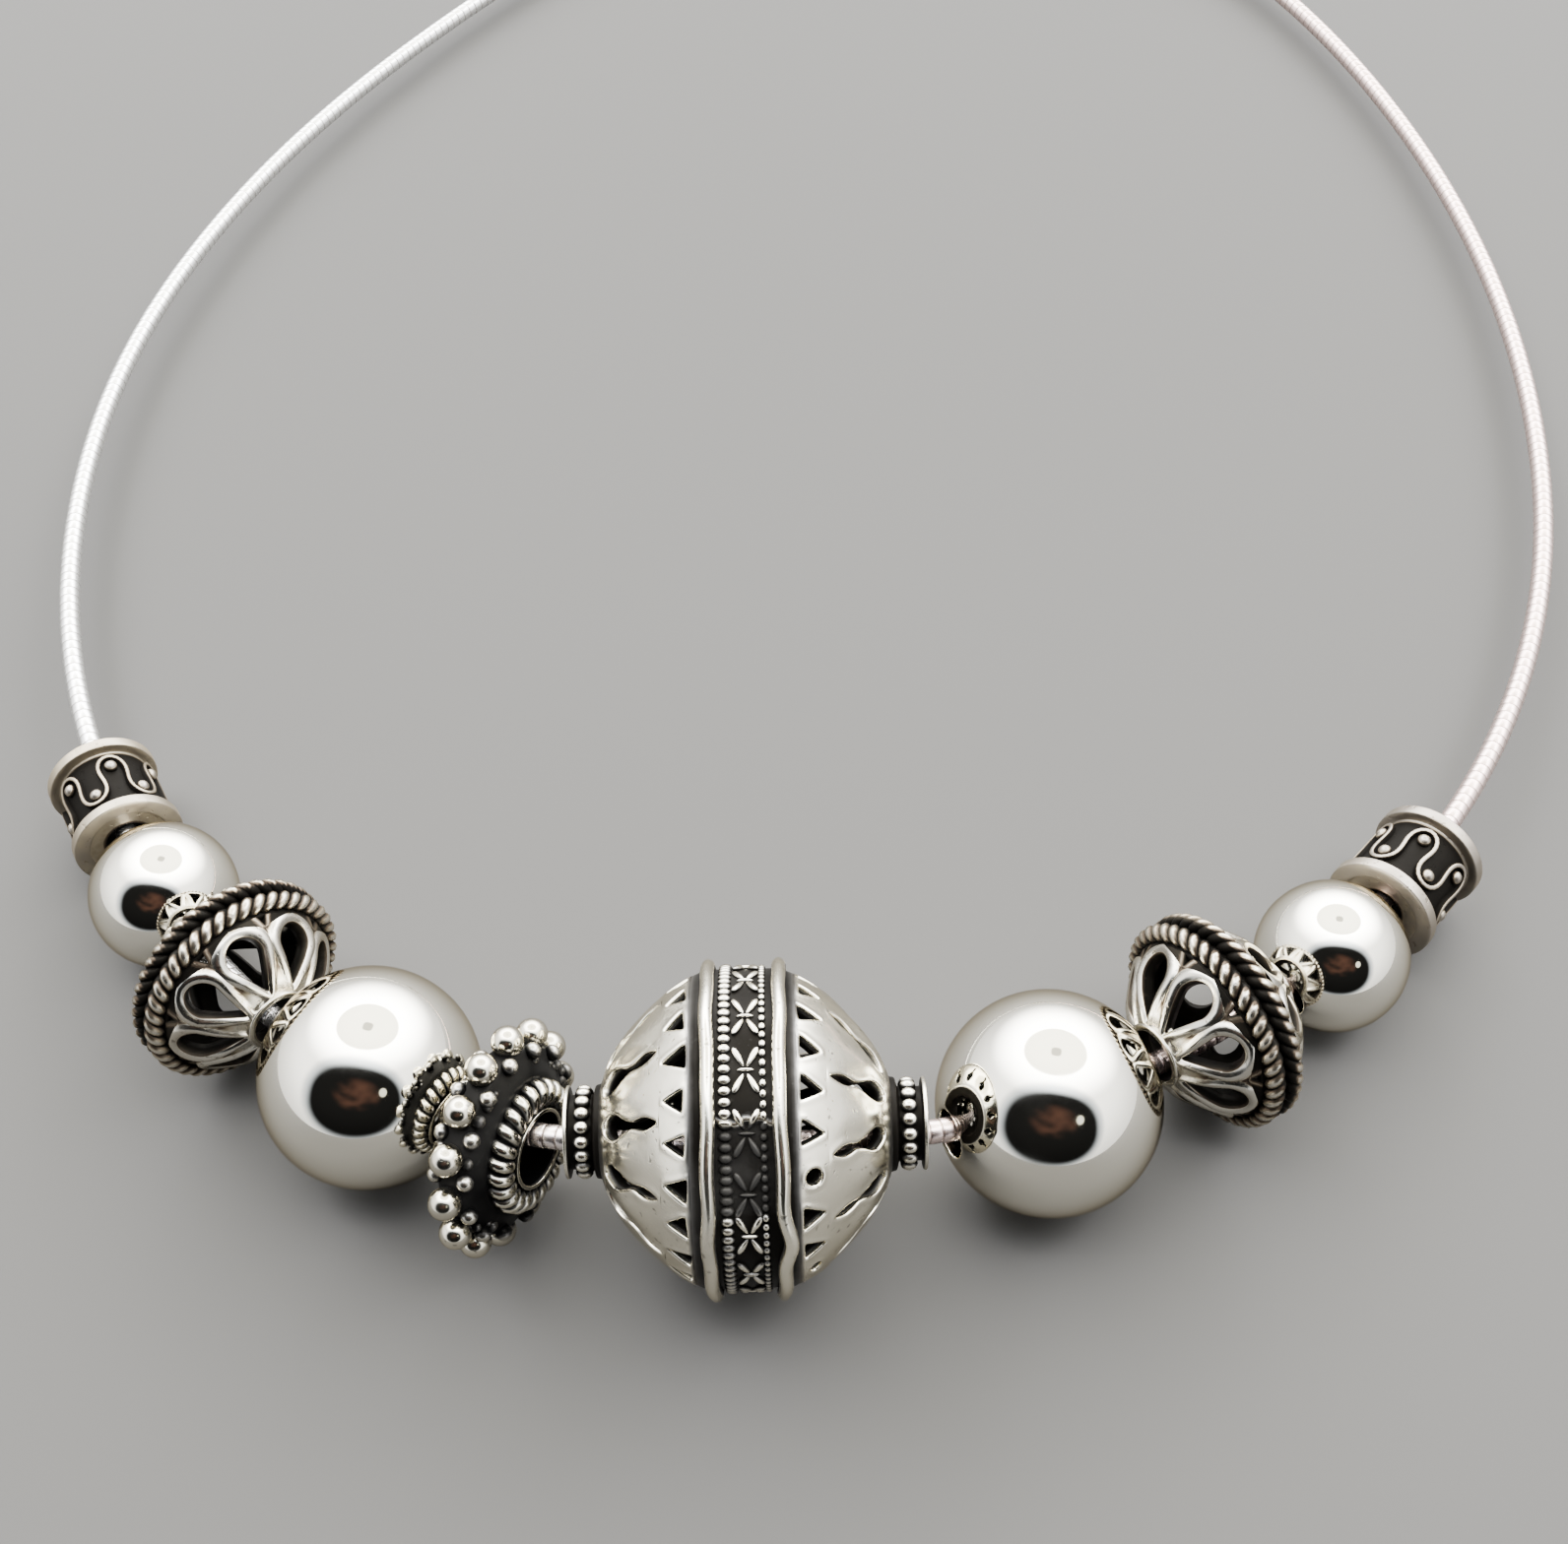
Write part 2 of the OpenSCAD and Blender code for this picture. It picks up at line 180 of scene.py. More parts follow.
# %% [markdown]
# ## Surfaces as arrays
# All the shapes here are grids of points worked out in one go. A part holds its points, its four-sided and
# three-sided faces, and one number per point that says how blackened the metal is there: 0 is bright silver
# and 1 is black. Silversmiths darken the whole bead in liver of sulphur and polish the raised metal again, so
# that number mostly comes from how deep a point lies; in a few places painted shade is added to it.

# %% Parts and grids
Part = namedtuple("Part", "points quads tris tarnish")


def skin(grid, wrap_rows=False, tarnish=0.0):
    """A grid of points (rows, columns, 3) as a skin of quads, joined round at its columns and, if asked,
    at its rows too."""
    rows, cols = grid.shape[:2]
    r, c = np.meshgrid(np.arange(rows if wrap_rows else rows - 1), np.arange(cols), indexing="ij")
    r2, c2 = (r + 1) % rows, (c + 1) % cols
    quads = np.stack([r * cols + c, r * cols + c2, r2 * cols + c2, r2 * cols + c], -1).reshape(-1, 4)
    shade = np.broadcast_to(tarnish, (rows, cols)).reshape(-1).astype(float)
    return Part(grid.reshape(-1, 3), quads, np.empty((0, 3), int), shade)


def close_ends(part, cols, tips=None):
    """Closes the first and last row of a skin with a fan of triangles to a tip, or to the row's middle."""
    n = len(part.points)
    if tips is None:
        tips = [part.points[:cols].mean(0), part.points[-cols:].mean(0)]
    k = np.arange(cols)
    k2 = (k + 1) % cols
    first = np.stack([k2, k, np.full(cols, n)], 1)
    last = np.stack([n - cols + k, n - cols + k2, np.full(cols, n + 1)], 1)
    shade = np.concatenate([part.tarnish, [part.tarnish[0], part.tarnish[-1]]])
    return Part(np.vstack([part.points, tips]), part.quads, np.vstack([part.tris, first, last]), shade)


def join(*parts):
    """Several parts as one, with their face numbers moved up."""
    starts = np.cumsum([0] + [len(p.points) for p in parts[:-1]])
    return Part(
        np.vstack([p.points for p in parts]),
        np.vstack([p.quads + start for p, start in zip(parts, starts)]),
        np.vstack([p.tris + start for p, start in zip(parts, starts)]),
        np.concatenate([p.tarnish for p in parts]),
    )


def outward(part):
    """Turns the faces round if the volume that they enclose comes out negative."""
    fans = np.vstack([part.quads[:, [0, 1, 2]], part.quads[:, [0, 2, 3]], part.tris])
    a, b, c = (part.points[fans[:, k]] for k in range(3))
    if np.einsum("ij,ij->", a, np.cross(b, c)) < 0:
        return part._replace(quads=part.quads[:, ::-1], tris=part.tris[:, ::-1])
    return part


print("a 3 x 4 grid, joined round, has", len(skin(np.zeros((3, 4, 3))).quads), "quads")

# %% [markdown]
# A few moves are used again and again: shift, turn, mirror, repeat round the axis, and weld the points that
# share a place. Repeating is one matrix product for all the copies.

# %% Moving and repeating parts
def moved(part, offset):
    return part._replace(points=part.points + offset)


def turned_part(part, rotation):
    return part._replace(points=part.points @ rotation.T)


def mirrored(part):
    """The part on the other side of the plane z = 0, with its faces turned to stay outward."""
    points = part.points * [1, 1, -1]
    return part._replace(points=points, quads=part.quads[:, ::-1], tris=part.tris[:, ::-1])


def both_ends(part):
    return join(part, mirrored(part))


def repeated(part, angles):
    """Copies of a part turned about Z by each angle in degrees."""
    angles = np.atleast_1d(angles)
    turns = np.stack([turn_z(a) for a in angles])
    shift = np.arange(len(angles))[:, None, None] * len(part.points)
    return Part(
        np.einsum("aij,nj->ani", turns, part.points).reshape(-1, 3),
        (part.quads + shift).reshape(-1, 4),
        (part.tris + shift).reshape(-1, 3),
        np.tile(part.tarnish, len(angles)),
    )


def round_angles(count, phase=0.0):
    return (np.arange(count) + phase) * 360 / count


def weld(part, grain=1e-3):
    """Joins points that share a place, so that neighbouring cells close into one skin."""
    keys = np.round((part.points + 0.317 * grain) / grain).astype(np.int64)
    _, first, index = np.unique(keys, axis=0, return_index=True, return_inverse=True)
    index = index.reshape(-1)
    return Part(part.points[first], index[part.quads], index[part.tris], part.tarnish[first])


def ease(x, low, high):
    """Smooth step from 0 at low to 1 at high."""
    t = np.clip((x - low) / (high - low), 0, 1)
    return t * t * (3 - 2 * t)


def bell(x, middle, width):
    """exp(-((x - middle) / width)^2): 1 at the middle, fading to 0 on both sides."""
    return np.exp(-(((x - middle) / width) ** 2))


print("five copies stand at", round_angles(5), "degrees")

# %% [markdown]
# ## Three ways to make a surface
# Turned parts come from a profile spun about the axis, as on a lathe. Wires come from a section carried along
# a path. Granules, the tiny melted balls of granulation, are spheres, and they are kept light because there
# are hundreds of them.

# %% Profiles and the lathe
def around_z(rho, angle, z):
    """(rho cos angle, rho sin angle, z) for whole arrays, with the angle in radians."""
    return np.stack(np.broadcast_arrays(rho * np.cos(angle), rho * np.sin(angle), z), -1)


def rounded(corners, radius, closed=True):
    """Profile with its corners worn round: each is a small parabola that starts a radius before it."""
    corners = np.asarray(corners, float)

    def towards(other):
        gap = other - corners
        return corners + gap * np.minimum(radius / np.linalg.norm(gap, axis=1), 0.45)[:, None]

    start, end = towards(np.roll(corners, 1, 0)), towards(np.roll(corners, -1, 0))
    t = np.linspace(0, 1, 4)[None, :, None]
    arcs = (1 - t) ** 2 * start[:, None] + 2 * t * (1 - t) * corners[:, None] + t**2 * end[:, None]
    if closed:
        return arcs.reshape(-1, 2)
    return np.vstack([corners[:1], arcs[1:-1].reshape(-1, 2), corners[-1:]])


def refined(profile, step, closed):
    """The same profile with points added along its long sides, so that tarnish can change along them."""
    sides = list(zip(profile, np.roll(profile, -1, 0)))[:None if closed else -1]
    cuts = [max(1, math.ceil(np.linalg.norm(b - a) / step)) for a, b in sides]
    points = [np.linspace(a, b, count, endpoint=False) for (a, b), count in zip(sides, cuts)]
    return np.vstack(points if closed else points + [profile[-1:]])


def lathe(profile, cols=96, closed=True, tarnish=0.0, step=0.2):
    """Profile of (radius, height) points spun about Z: (radius cos b, radius sin b, height). The tarnish is
    a number, or a function of radius and height."""
    profile = refined(np.asarray(profile, float), step, closed)
    rho, z = profile[:, :1], profile[:, 1:]
    shade = tarnish(rho, z) if callable(tarnish) else tarnish
    part = skin(around_z(rho, np.radians(round_angles(cols)), z), wrap_rows=closed, tarnish=shade)
    if not closed:
        part = close_ends(part, cols)
    return outward(part)


print("a square ring from the lathe:", lathe([(1, 0), (2, 0), (2, 1), (1, 1)], step=1.0).points.shape)

# %% [markdown]
# A sweep needs to know which way its section stands. It gets a normal for each point of the path, straightens
# it against the path's direction, and takes the third direction from the two.

# %% Sweep and granule
def sweep(path, normal, section, closed=False, tarnish=0.0):
    """Section carried along a path: point + a * normal + b * (tangent x normal), for every (a, b)."""
    if closed:
        tangent = unit(np.roll(path, -1, 0) - np.roll(path, 1, 0))
    else:
        tangent = unit(np.gradient(path, axis=0))
    normal = unit(normal - (normal * tangent).sum(1, keepdims=True) * tangent)
    across = np.cross(tangent, normal)
    section = np.broadcast_to(section, (len(path),) + section.shape[-2:])
    grid = path[:, None] + section[..., :1] * normal[:, None] + section[..., 1:] * across[:, None]
    part = skin(grid, wrap_rows=closed, tarnish=tarnish)
    if not closed:
        part = close_ends(part, section.shape[1])
    return outward(part)


def round_section(radius, sides):
    """Circle as a section; the radius may be one number or one for each point of the path."""
    a = np.radians(round_angles(sides))
    return np.asarray(radius, float)[..., None, None] * np.stack([np.cos(a), np.sin(a)], -1)


def foot_tarnish(low, high):
    """Granules stand on dark metal along +X, so their feet are black and their tops bright."""
    return lambda points: 1 - ease(points[:, 0], low, high)


def granule(radius, tarnish, cols=10, rows=5, stretch=(1, 1, 1)):
    """Small ball: radius * (sin a cos b, sin a sin b, cos a), stretched along its axes. The tarnish is a
    function of the points of a ball of radius 1."""
    a = np.radians(np.linspace(180, 0, rows + 2)[1:-1])[:, None]
    grid = around_z(np.sin(a), np.radians(round_angles(cols)), np.cos(a))
    part = close_ends(skin(grid), cols, tips=[[0, 0, -1], [0, 0, 1]])
    points = part.points * radius * np.array(stretch)
    return outward(part._replace(points=points, tarnish=tarnish(part.points)))


grain = granule(1.0, foot_tarnish(0.0, 1.0))
print("a granule has", len(grain.quads) + len(grain.tris), "faces")

# %% [markdown]
# ## Shader maths
# A material is a small network of nodes. One class wraps an output socket, so that an expression such as
# `1 - mask * 0.5` adds the Math nodes by itself, and one method makes any other node. The patterns read
# Object coordinates, so they stay fixed to the metal.

# %% Shader maths
class Signal:
    """An output of a shader node. Sums and products with it add Math nodes to its finish."""

    def __init__(self, finish, socket):
        self.finish, self.socket = finish, socket

    def maths(self, operation, *values):
        return self.finish.node("ShaderNodeMath", {"operation": operation}, dict(enumerate(values)))

    def __add__(self, other):
        return self.maths("ADD", self, other)

    def __mul__(self, other):
        return self.maths("MULTIPLY", self, other)

    def __sub__(self, other):
        return self.maths("SUBTRACT", self, other)

    def __rsub__(self, other):
        return self.maths("SUBTRACT", other, self)

    def __truediv__(self, other):
        return self.maths("DIVIDE", self, other)

    def __pow__(self, other):
        return self.maths("POWER", self, other)

    __radd__, __rmul__ = __add__, __mul__

    def clamped(self):
        """Cut to the range from 0 to 1."""
        return self.maths("MINIMUM", self.maths("MAXIMUM", self, 0.0), 1.0)


print("reflected operators:", [name for name in vars(Signal) if name.startswith("__r")])

# %% [markdown]
# A finish is the whole network. Its methods are the few nodes that the metals here need: object coordinates,
# the tarnish of the points, noise, a mix of two colours, a smooth step and bump.

# %% Nodes of a finish
class Finish:
    """A node tree under construction, for a material or for the world."""

    def __init__(self, owner):
        owner.use_nodes = True
        self.owner, self.tree = owner, owner.node_tree
        self.tree.nodes.clear()

    def node(self, kind, settings=None, sockets=None, out=0):
        """Adds a node. Its settings are set first, then its sockets get values or links."""
        made = self.tree.nodes.new(kind)
        for key, value in (settings or {}).items():
            if key == "stops":
                self.set_stops(made.color_ramp, value)
            else:
                setattr(made, key, value)
        for key, value in (sockets or {}).items():
            if isinstance(value, Signal):
                self.tree.links.new(value.socket, made.inputs[key])
            else:
                made.inputs[key].default_value = value
        return Signal(self, made.outputs[out]) if made.outputs else made

    def set_stops(self, ramp, stops):
        """Colour stops of a ramp, as (position, colour)."""
        while len(ramp.elements) < len(stops):
            ramp.elements.new(0.5)
        for element, (position, colour) in zip(ramp.elements, stops):
            element.position, element.color = position, (*colour, 1)

    def place(self):
        """Object coordinates, in metres."""
        return self.node("ShaderNodeTexCoord", out=3)

    def tarnish(self):
        """The tarnish number, with painted shade added to it in places, that each point of the mesh holds."""
        return self.node("ShaderNodeAttribute", {"attribute_name": "tarnish"}, out=2)

    def noise(self, where, scale, detail=3.0, roughness=0.5, stretch=(1, 1, 1)):
        """Noise with about scale lumps a metre. A larger stretch makes them shorter along that axis."""
        spot = self.node("ShaderNodeMapping", {}, {"Vector": where, "Scale": stretch})
        values = {"Vector": spot, "Scale": scale, "Detail": detail, "Roughness": roughness}
        return self.node("ShaderNodeTexNoise", {}, values)

    def mix(self, factor, a, b):
        """Colour a where the factor is 0 and colour b where it is 1."""
        a, b = (v if isinstance(v, Signal) else (*v, 1) for v in (a, b))
        return self.node("ShaderNodeMix", {"data_type": "RGBA"}, {0: factor, 6: a, 7: b}, out=2)

    def steps(self, value, low, high):
        """Smooth step from 0 at low to 1 at high."""
        limits = {"Value": value, "From Min": low, "From Max": high}
        return self.node("ShaderNodeMapRange", {"interpolation_type": "SMOOTHSTEP"}, limits)

    def bump(self, height, strength, distance):
        values = {"Height": height, "Strength": strength, "Distance": distance}
        return self.node("ShaderNodeBump", {}, values)

    def surface(self, **sockets):
        """Ends the material in one Principled shader."""
        names = {key.replace("_", " "): value for key, value in sockets.items()}
        shader = self.node("ShaderNodeBsdfPrincipled", {}, names)
        self.node("ShaderNodeOutputMaterial", {}, {"Surface": shader})
        return self.owner


def new_finish(name):
    return Finish(bpy.data.materials.new(name))


def print_finish(material):
    print(material.name, "has", len(material.node_tree.nodes), "nodes")


print("the CAD part came with", sorted(material.name for material in bpy.data.materials))

# %% [markdown]
# ## Polished silver
# The plain balls are mirrors. Silver is a slightly warm grey metal with a very low roughness. What makes it
# read as real is the small unevenness: faint smears that vary the roughness, hairline scratches from the
# polishing wheel, and a hammered wave far too shallow to see except in the reflections. The specular tint is
# the colour of the metal at grazing angles; the low, warm one here is painted shade that keeps the rims of
# the balls from going white.

# %% Polished silver
def polished_silver():
    f = new_finish("polished_silver")
    where = f.place()
    smears = f.noise(where, 260.0, detail=4.0)
    hairlines = f.noise(where, 900.0, detail=2.0, stretch=(1, 6, 1))
    waves = f.noise(where, 320.0, detail=1.0)
    relief = waves * 0.6 + f.steps(hairlines, 0.62, 0.66) * -0.02
    return f.surface(
        Base_Color=f.mix(smears, (0.88, 0.855, 0.765), (0.85, 0.82, 0.715)),
        Metallic=1.0,
        # Painted shade: the low, warm specular tint darkens the rims of the balls.
        Specular_Tint=(0.54, 0.49, 0.41, 1),
        Roughness=f.steps(smears, 0.4, 0.75) * 0.07 + 0.035,
        Normal=f.bump(relief, 0.25, 0.00002),
    )


POLISHED = polished_silver()
print_finish(POLISHED)

# %% [markdown]
# ## Oxidised silver
# The worked beads are satin on their raised metal and blackened in their depths. The tarnish number of each
# point drives the colour, from silver through a thin oxide, warm brown or cold grey, to black. A little noise
# breaks its edge up, because no two spots take the oxide alike, and clouds of thin oxide smudge the bright
# metal. Fine pits and casting grain are in the bump.

# %% Oxidised silver
SILVER, WORN, OLIVE = (0.80, 0.77, 0.69), (0.93, 0.885, 0.74), (0.66, 0.62, 0.51)
SOFT, PEWTER = (0.59, 0.565, 0.50), (0.34, 0.305, 0.265)
STRAW, BROWN, BLACK = (0.46, 0.40, 0.30), (0.075, 0.055, 0.04), (0.004, 0.0035, 0.003)
GREY, GUNMETAL, JET = (0.34, 0.33, 0.31), (0.07, 0.068, 0.066), (0.0016, 0.0016, 0.0018)


def oxidised_silver(name, bright=SILVER, oxide=(STRAW, BROWN, BLACK), satin=0.2, grain=1.0):
    """The oxide is three colours: where it is thin, thick and deep. Satin sets how rough the bright metal is,
    and grain scales the blotches and the bump."""
    f = new_finish(name)
    where, depth = f.place(), f.tarnish()
    thin, thick, deep = oxide
    blotches = f.noise(where, 900.0, detail=5.0, roughness=0.6)
    clouds = f.noise(where, 180.0, detail=3.0)
    uneven = (blotches - 0.5) * (0.2 + 0.15 * grain) + (clouds - 0.5) * 0.2 * grain
    black = (depth + uneven * (1.1 - depth)).clamped()
    stops = [(0.0, bright), (0.3, bright), (0.5, thin), (0.68, thick), (0.88, deep)]
    colour = f.node("ShaderNodeValToRGB", {"stops": stops}, {"Fac": black})
    pits = f.steps(f.noise(where, 2600.0, detail=2.0), 0.64, 0.72)
    smudges = f.steps(clouds, 0.42, 0.72) * (1 - black) * 0.36
    hammered = f.noise(where, 420.0, detail=2.0)
    relief = hammered * 0.8 + blotches * 0.08 - pits * 0.15
    return f.surface(
        Base_Color=f.mix(pits * (1 - black) * 0.6, f.mix(smudges, colour, thin), thick),
        Specular_IOR_Level=0.05,
        Specular_Tint=(0.68, 0.64, 0.56, 1),
        Metallic=1 - f.steps(black, 0.6, 0.95) * 0.95,
        Roughness=black * 0.25 + blotches * 0.08 + smudges * 0.15 + (satin - 0.03),
        Normal=f.bump(relief, 0.5 * grain, 0.00012),
    )


OXIDISED = oxidised_silver("oxidised_silver")
WORN_SILVER = oxidised_silver("worn_silver", WORN, (GREY, GUNMETAL, BLACK), satin=0.17, grain=0.8)
GRANULE_SILVER = oxidised_silver("granule_silver", OLIVE, (GREY, GUNMETAL, JET), satin=0.12, grain=0.5)
CAST_SILVER = oxidised_silver("cast_silver", SOFT, satin=0.17, grain=0.8)
OLD_PEWTER = oxidised_silver("pewter_silver", PEWTER, satin=0.32, grain=2.0)
print_finish(OXIDISED)

# %% [markdown]
# ## Wire silver
# The neck wire is a chain of short bright sleeves. Its metal turns from white on the left to a pale rose on
# the right, and its joints are thin dark lines.

# %% Wire silver
def wire_silver():
    f = new_finish("wire_silver")
    where, joints = f.place(), f.tarnish()
    side = f.node("ShaderNodeSeparateXYZ", {}, {"Vector": where})
    rosy = f.steps(side + (f.noise(where, 60.0) - 0.5) * 0.02, -0.045, 0.03)
    metal = f.mix(rosy, (0.95, 0.95, 0.93), (0.80, 0.63, 0.59))
    dark = f.steps(joints, 0.35, 0.9)
    grain = f.noise(where, 1800.0, detail=3.0)
    return f.surface(
        Base_Color=f.mix(dark, metal, (0.22, 0.16, 0.14)),
        Metallic=1.0,
        Roughness=grain * 0.14 + dark * 0.2 + 0.2,
        Normal=f.bump(grain, 0.3, 0.00003),
    )


WIRE = wire_silver()
print_finish(WIRE)

# %% [markdown]
# ## From arrays to a piece
# One function writes a part into a mesh, in metres, gives it its material, hangs it on the frame's root
# body and hides the CAD node that it stands for.

# %% From arrays to a piece
def make_piece(name, part, node, material, lay=None):
    points = part.points if lay is None else part.points @ lay[0].T + lay[1]
    mesh = bpy.data.meshes.new(name)
    mesh.from_pydata((points * MM).tolist(), [], part.quads.tolist() + part.tris.tolist())
    mesh.polygons.foreach_set("use_smooth", np.ones(len(mesh.polygons), bool))
    shade = mesh.attributes.new("tarnish", "FLOAT", "POINT")
    shade.data.foreach_set("value", np.clip(part.tarnish, 0, 1).astype(np.float32))
    mesh.materials.append(material)
    mesh.update()
    piece = bpy.data.objects.new(name, mesh)
    scene.collection.objects.link(piece)
    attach(piece, "root")
    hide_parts(node)
    triangles, z = len(part.quads) * 2 + len(part.tris), points[:, 2]
    print("%-26s %7d triangles  z %.2f to %.2f mm" % (name, triangles, z.min(), z.max()))


print("a mesh is scaled by", MM)

# %% [markdown]
# ## The segmented neck wire
# On the real choker the wire is a flexible core with hundreds of short sleeves pushed together. It could be
# an array of small cylinders along a curve. Here it is one swept tube whose radius dips at every joint, which
# keeps it one closed skin and lets the joint lines carry their own tarnish. It starts and ends inside the
# clasp, which sits six millimetres beside the middle of the back.

# %% The segmented neck wire
WIRE_R, SLEEVE = 0.75, 0.8
CLASP_LEN, SOCKET_DEPTH, SOCKET_ROOM = 12.0, 3.0, 0.3
clasp_at = loop_len / 2 - 6


def neck_wire():
    """Radius = wire radius * a dip at each joint; the rings sit at five places in every sleeve."""
    span = loop_len - CLASP_LEN + 2 * (SOCKET_DEPTH - SOCKET_ROOM)
    sleeves = int(round(span / SLEEVE))
    share = np.array([0.0, 0.06, 0.15, 0.85, 0.94])
    swell = np.array([0.94, 0.985, 1.0, 1.0, 0.985])
    dark = np.array([1.0, 0.3, 0.0, 0.0, 0.3])
    stations = (np.arange(sleeves)[:, None] + share).reshape(-1) * span / sleeves
    stations += clasp_at - loop_len / 2 - span / 2
    sideways = unit(np.cross([0, 0, 1.0], wire_dir(stations)))
    section = round_section(WIRE_R * np.tile(swell, sleeves), 14)
    return sweep(wire_point(stations), sideways, section, tarnish=np.tile(dark, sleeves)[:, None])


make_piece("segmented_neck_wire", neck_wire(), "neck_wire", WIRE)

# %% [markdown]
# ## The clasp
# A plain barrel clasp at the back takes both ends of the wire in blind sockets. Its profile runs from the
# floor of one socket, out over the barrel, to the floor of the other, so one turn of the lathe makes it all.

# %% The clasp
CLASP_R = 1.6


def clasp():
    r, half = CLASP_R, CLASP_LEN / 2
    socket_r = WIRE_R + SOCKET_ROOM

    def shade(rho, z):
        """Dark in the two grooves of the barrel and in its sockets."""
        groove = ease(-rho, -(r - 0.04), -(r - 0.12)) * (abs(z) < half - 1)
        return groove + 0.9 * (rho < socket_r + 0.02)

    side = [
        (0.02, -half + SOCKET_DEPTH), (socket_r, -half + SOCKET_DEPTH), (socket_r, -half), (r - 0.35, -half),
        (r, -half + 0.5), (r, -half + 1.3), (r - 0.14, -half + 1.42), (r - 0.14, -half + 1.58),
        (r, -half + 1.7),
    ]
    profile = rounded(side + [(rho, -z) for rho, z in side[::-1]], 0.12, closed=False)
    return lathe(profile, cols=48, closed=False, tarnish=shade)


lay = on_wire(clasp_at, CLASP_R, side=0.15)
make_piece("barrel_clasp", clasp(), "clasp", OXIDISED, lay)

# %% [markdown]
# ## The polished balls
# A ball bead is two stamped halves soldered together, drilled, and polished until the seam is gone. Its
# profile is an arc of the circle, a small rolled lip where the drill broke through, and the bore.

# %% The polished balls
def ball(radius, cols=112, rows=72):
    """Arc (R sin a, -R cos a) between the two holes, then the bore back down inside."""
    edge = math.degrees(math.asin((BORE_R + 0.12) / radius))
    a = np.radians(np.linspace(edge, 180 - edge, rows))
    arc = np.stack([radius * np.sin(a), -radius * np.cos(a)], 1)
    top = radius * math.cos(math.radians(edge))
    lip = np.array([[BORE_R + 0.03, top - 0.03], [BORE_R, top - 0.12], [BORE_R, 0.0]])
    profile = np.vstack([arc, lip, lip[1::-1] * [1, -1]])
    return lathe(profile, cols, tarnish=lambda rho, z: 1.0 * (rho < BORE_R + 0.02), step=1.0)


for name, s, radius, side in [
    ("large_ball_left", large_left_at, LARGE_R, 0.5),
    ("large_ball_right", large_right_at, LARGE_R, 0.4),
    ("small_ball_left", small_left_at, SMALL_R, 0.1),
    ("small_ball_right", small_right_at, SMALL_R, -0.2),
]:
    lay = on_wire(s, seat(s, radius, 0.45), side)
    make_piece("polished_" + name, ball(radius), name, POLISHED, lay)

# %% [markdown]
# ## The pierced domes of the centre bead
# A jeweller pierces a dome with a saw, hole by hole. A Boolean could do that here, but then the rims would be
# sharp and the faces messy. Instead the dome is laid out in cells, one hole in each. A cell is a ring of
# faces between its border and its hole's outline, and it carries on over a raised rim, down through the
# sheet, and back to the border on the inside. Neighbouring cells share their border points, so the dome
# closes.

# %% Outlines of the holes
DOME_R, DOME_SHIFT, DOME_WALL, DOME_END, COLLAR_BORE = 9.9, 0.9, 0.8, 8.6, 1.75
TRIANGLES, SLITS = 22, 11
DOME_COLS = 8 * TRIANGLES


def outline(corners, count, soften=1):
    """Closed outline through corners, as evenly spaced points, with its corners averaged soft."""
    corners = np.asarray(corners, float)
    loop = np.vstack([corners, corners[:1]])
    along = np.concatenate([[0], np.cumsum(np.linalg.norm(np.diff(loop, axis=0), axis=1))])
    at = np.arange(count) * along[-1] / count
    points = np.stack([np.interp(at, along, loop[:, k]) for k in range(2)], -1)
    for _ in range(soften):
        points = (np.roll(points, 1, 0) + 2 * points + np.roll(points, -1, 0)) / 4
    return points


def two_sided(half):
    """A half outline that starts at the band and ends at the pole, with its mirror image added."""
    return half + [(x, -y) for x, y in half[-2:0:-1]]


TRIANGLE = outline(two_sided([(0.74, 0), (0.74, 0.74), (-0.82, 0)]), 28)
LEAF = [(2.65, 0), (2.1, 0.26), (1.5, 0.42), (0.9, 0.34), (0.35, 0.17)]
MOUTH = [(-0.3, 0.36), (-0.9, 0.7), (-1.5, 0.8), (-2.1, 0.58), (-2.6, 0.3), (-2.65, 0)]
SLIT = outline(two_sided(LEAF + MOUTH), 56)


def cell_border(half_wide, low, high, wide, tall):
    """Cell outline in degrees (around, polar), from the middle of its band side towards +around, with wide
    and tall points along its sides. The low and high sides lie at polar angles, or at functions of the angle
    around from the cell's middle."""
    k = np.arange(2 * wide + 2 * tall)
    marks = [0, wide / 2, wide / 2 + tall, 1.5 * wide + tall, 1.5 * wide + 2 * tall, 2 * wide + 2 * tall]
    around = np.interp(k, marks, [0, half_wide, half_wide, -half_wide, -half_wide, 0])
    share = np.interp(k, marks, [1, 1, 0, 0, 1, 1])
    low, high = (side(around) if callable(side) else side + 0 * around for side in (low, high))
    return np.stack([around, low + share * (high - low)], -1)


print("outline points:", len(TRIANGLE), len(SLIT))

# %% [markdown]
# The rows of a cell run from its border towards the hole, crowd together near the rim where the relief is, go
# down the wall of the hole and return inside. The height above the sphere depends on how far a point is from
# the nearest point of the hole's outline, so the relief follows the hole and not the cell.

# %% Pierced cells on a sphere
RIM_SHARES = [0, 0.12, 0.25, 0.38, 0.5, 0.62, 0.75, 0.85, 0.92, 0.97, 1]
WALL_SHARES, WALL_DEPTHS = [1, 1, 1, 0.5, 0], [0.17, 0.56, 1, 1, 1]


def on_sphere(radius, polar, around):
    """(radius sin p cos a, radius sin p sin a, radius cos p) from angles in degrees."""
    p = np.radians(polar)
    return around_z(radius * np.sin(p), np.radians(around), radius * np.cos(p))


def raised_rim(from_edge):
    """A soft lip round each hole, with the edge itself worn round."""
    return 0.04 * bell(from_edge, 0.16, 0.16) - 0.05 * np.exp(-from_edge / 0.05)


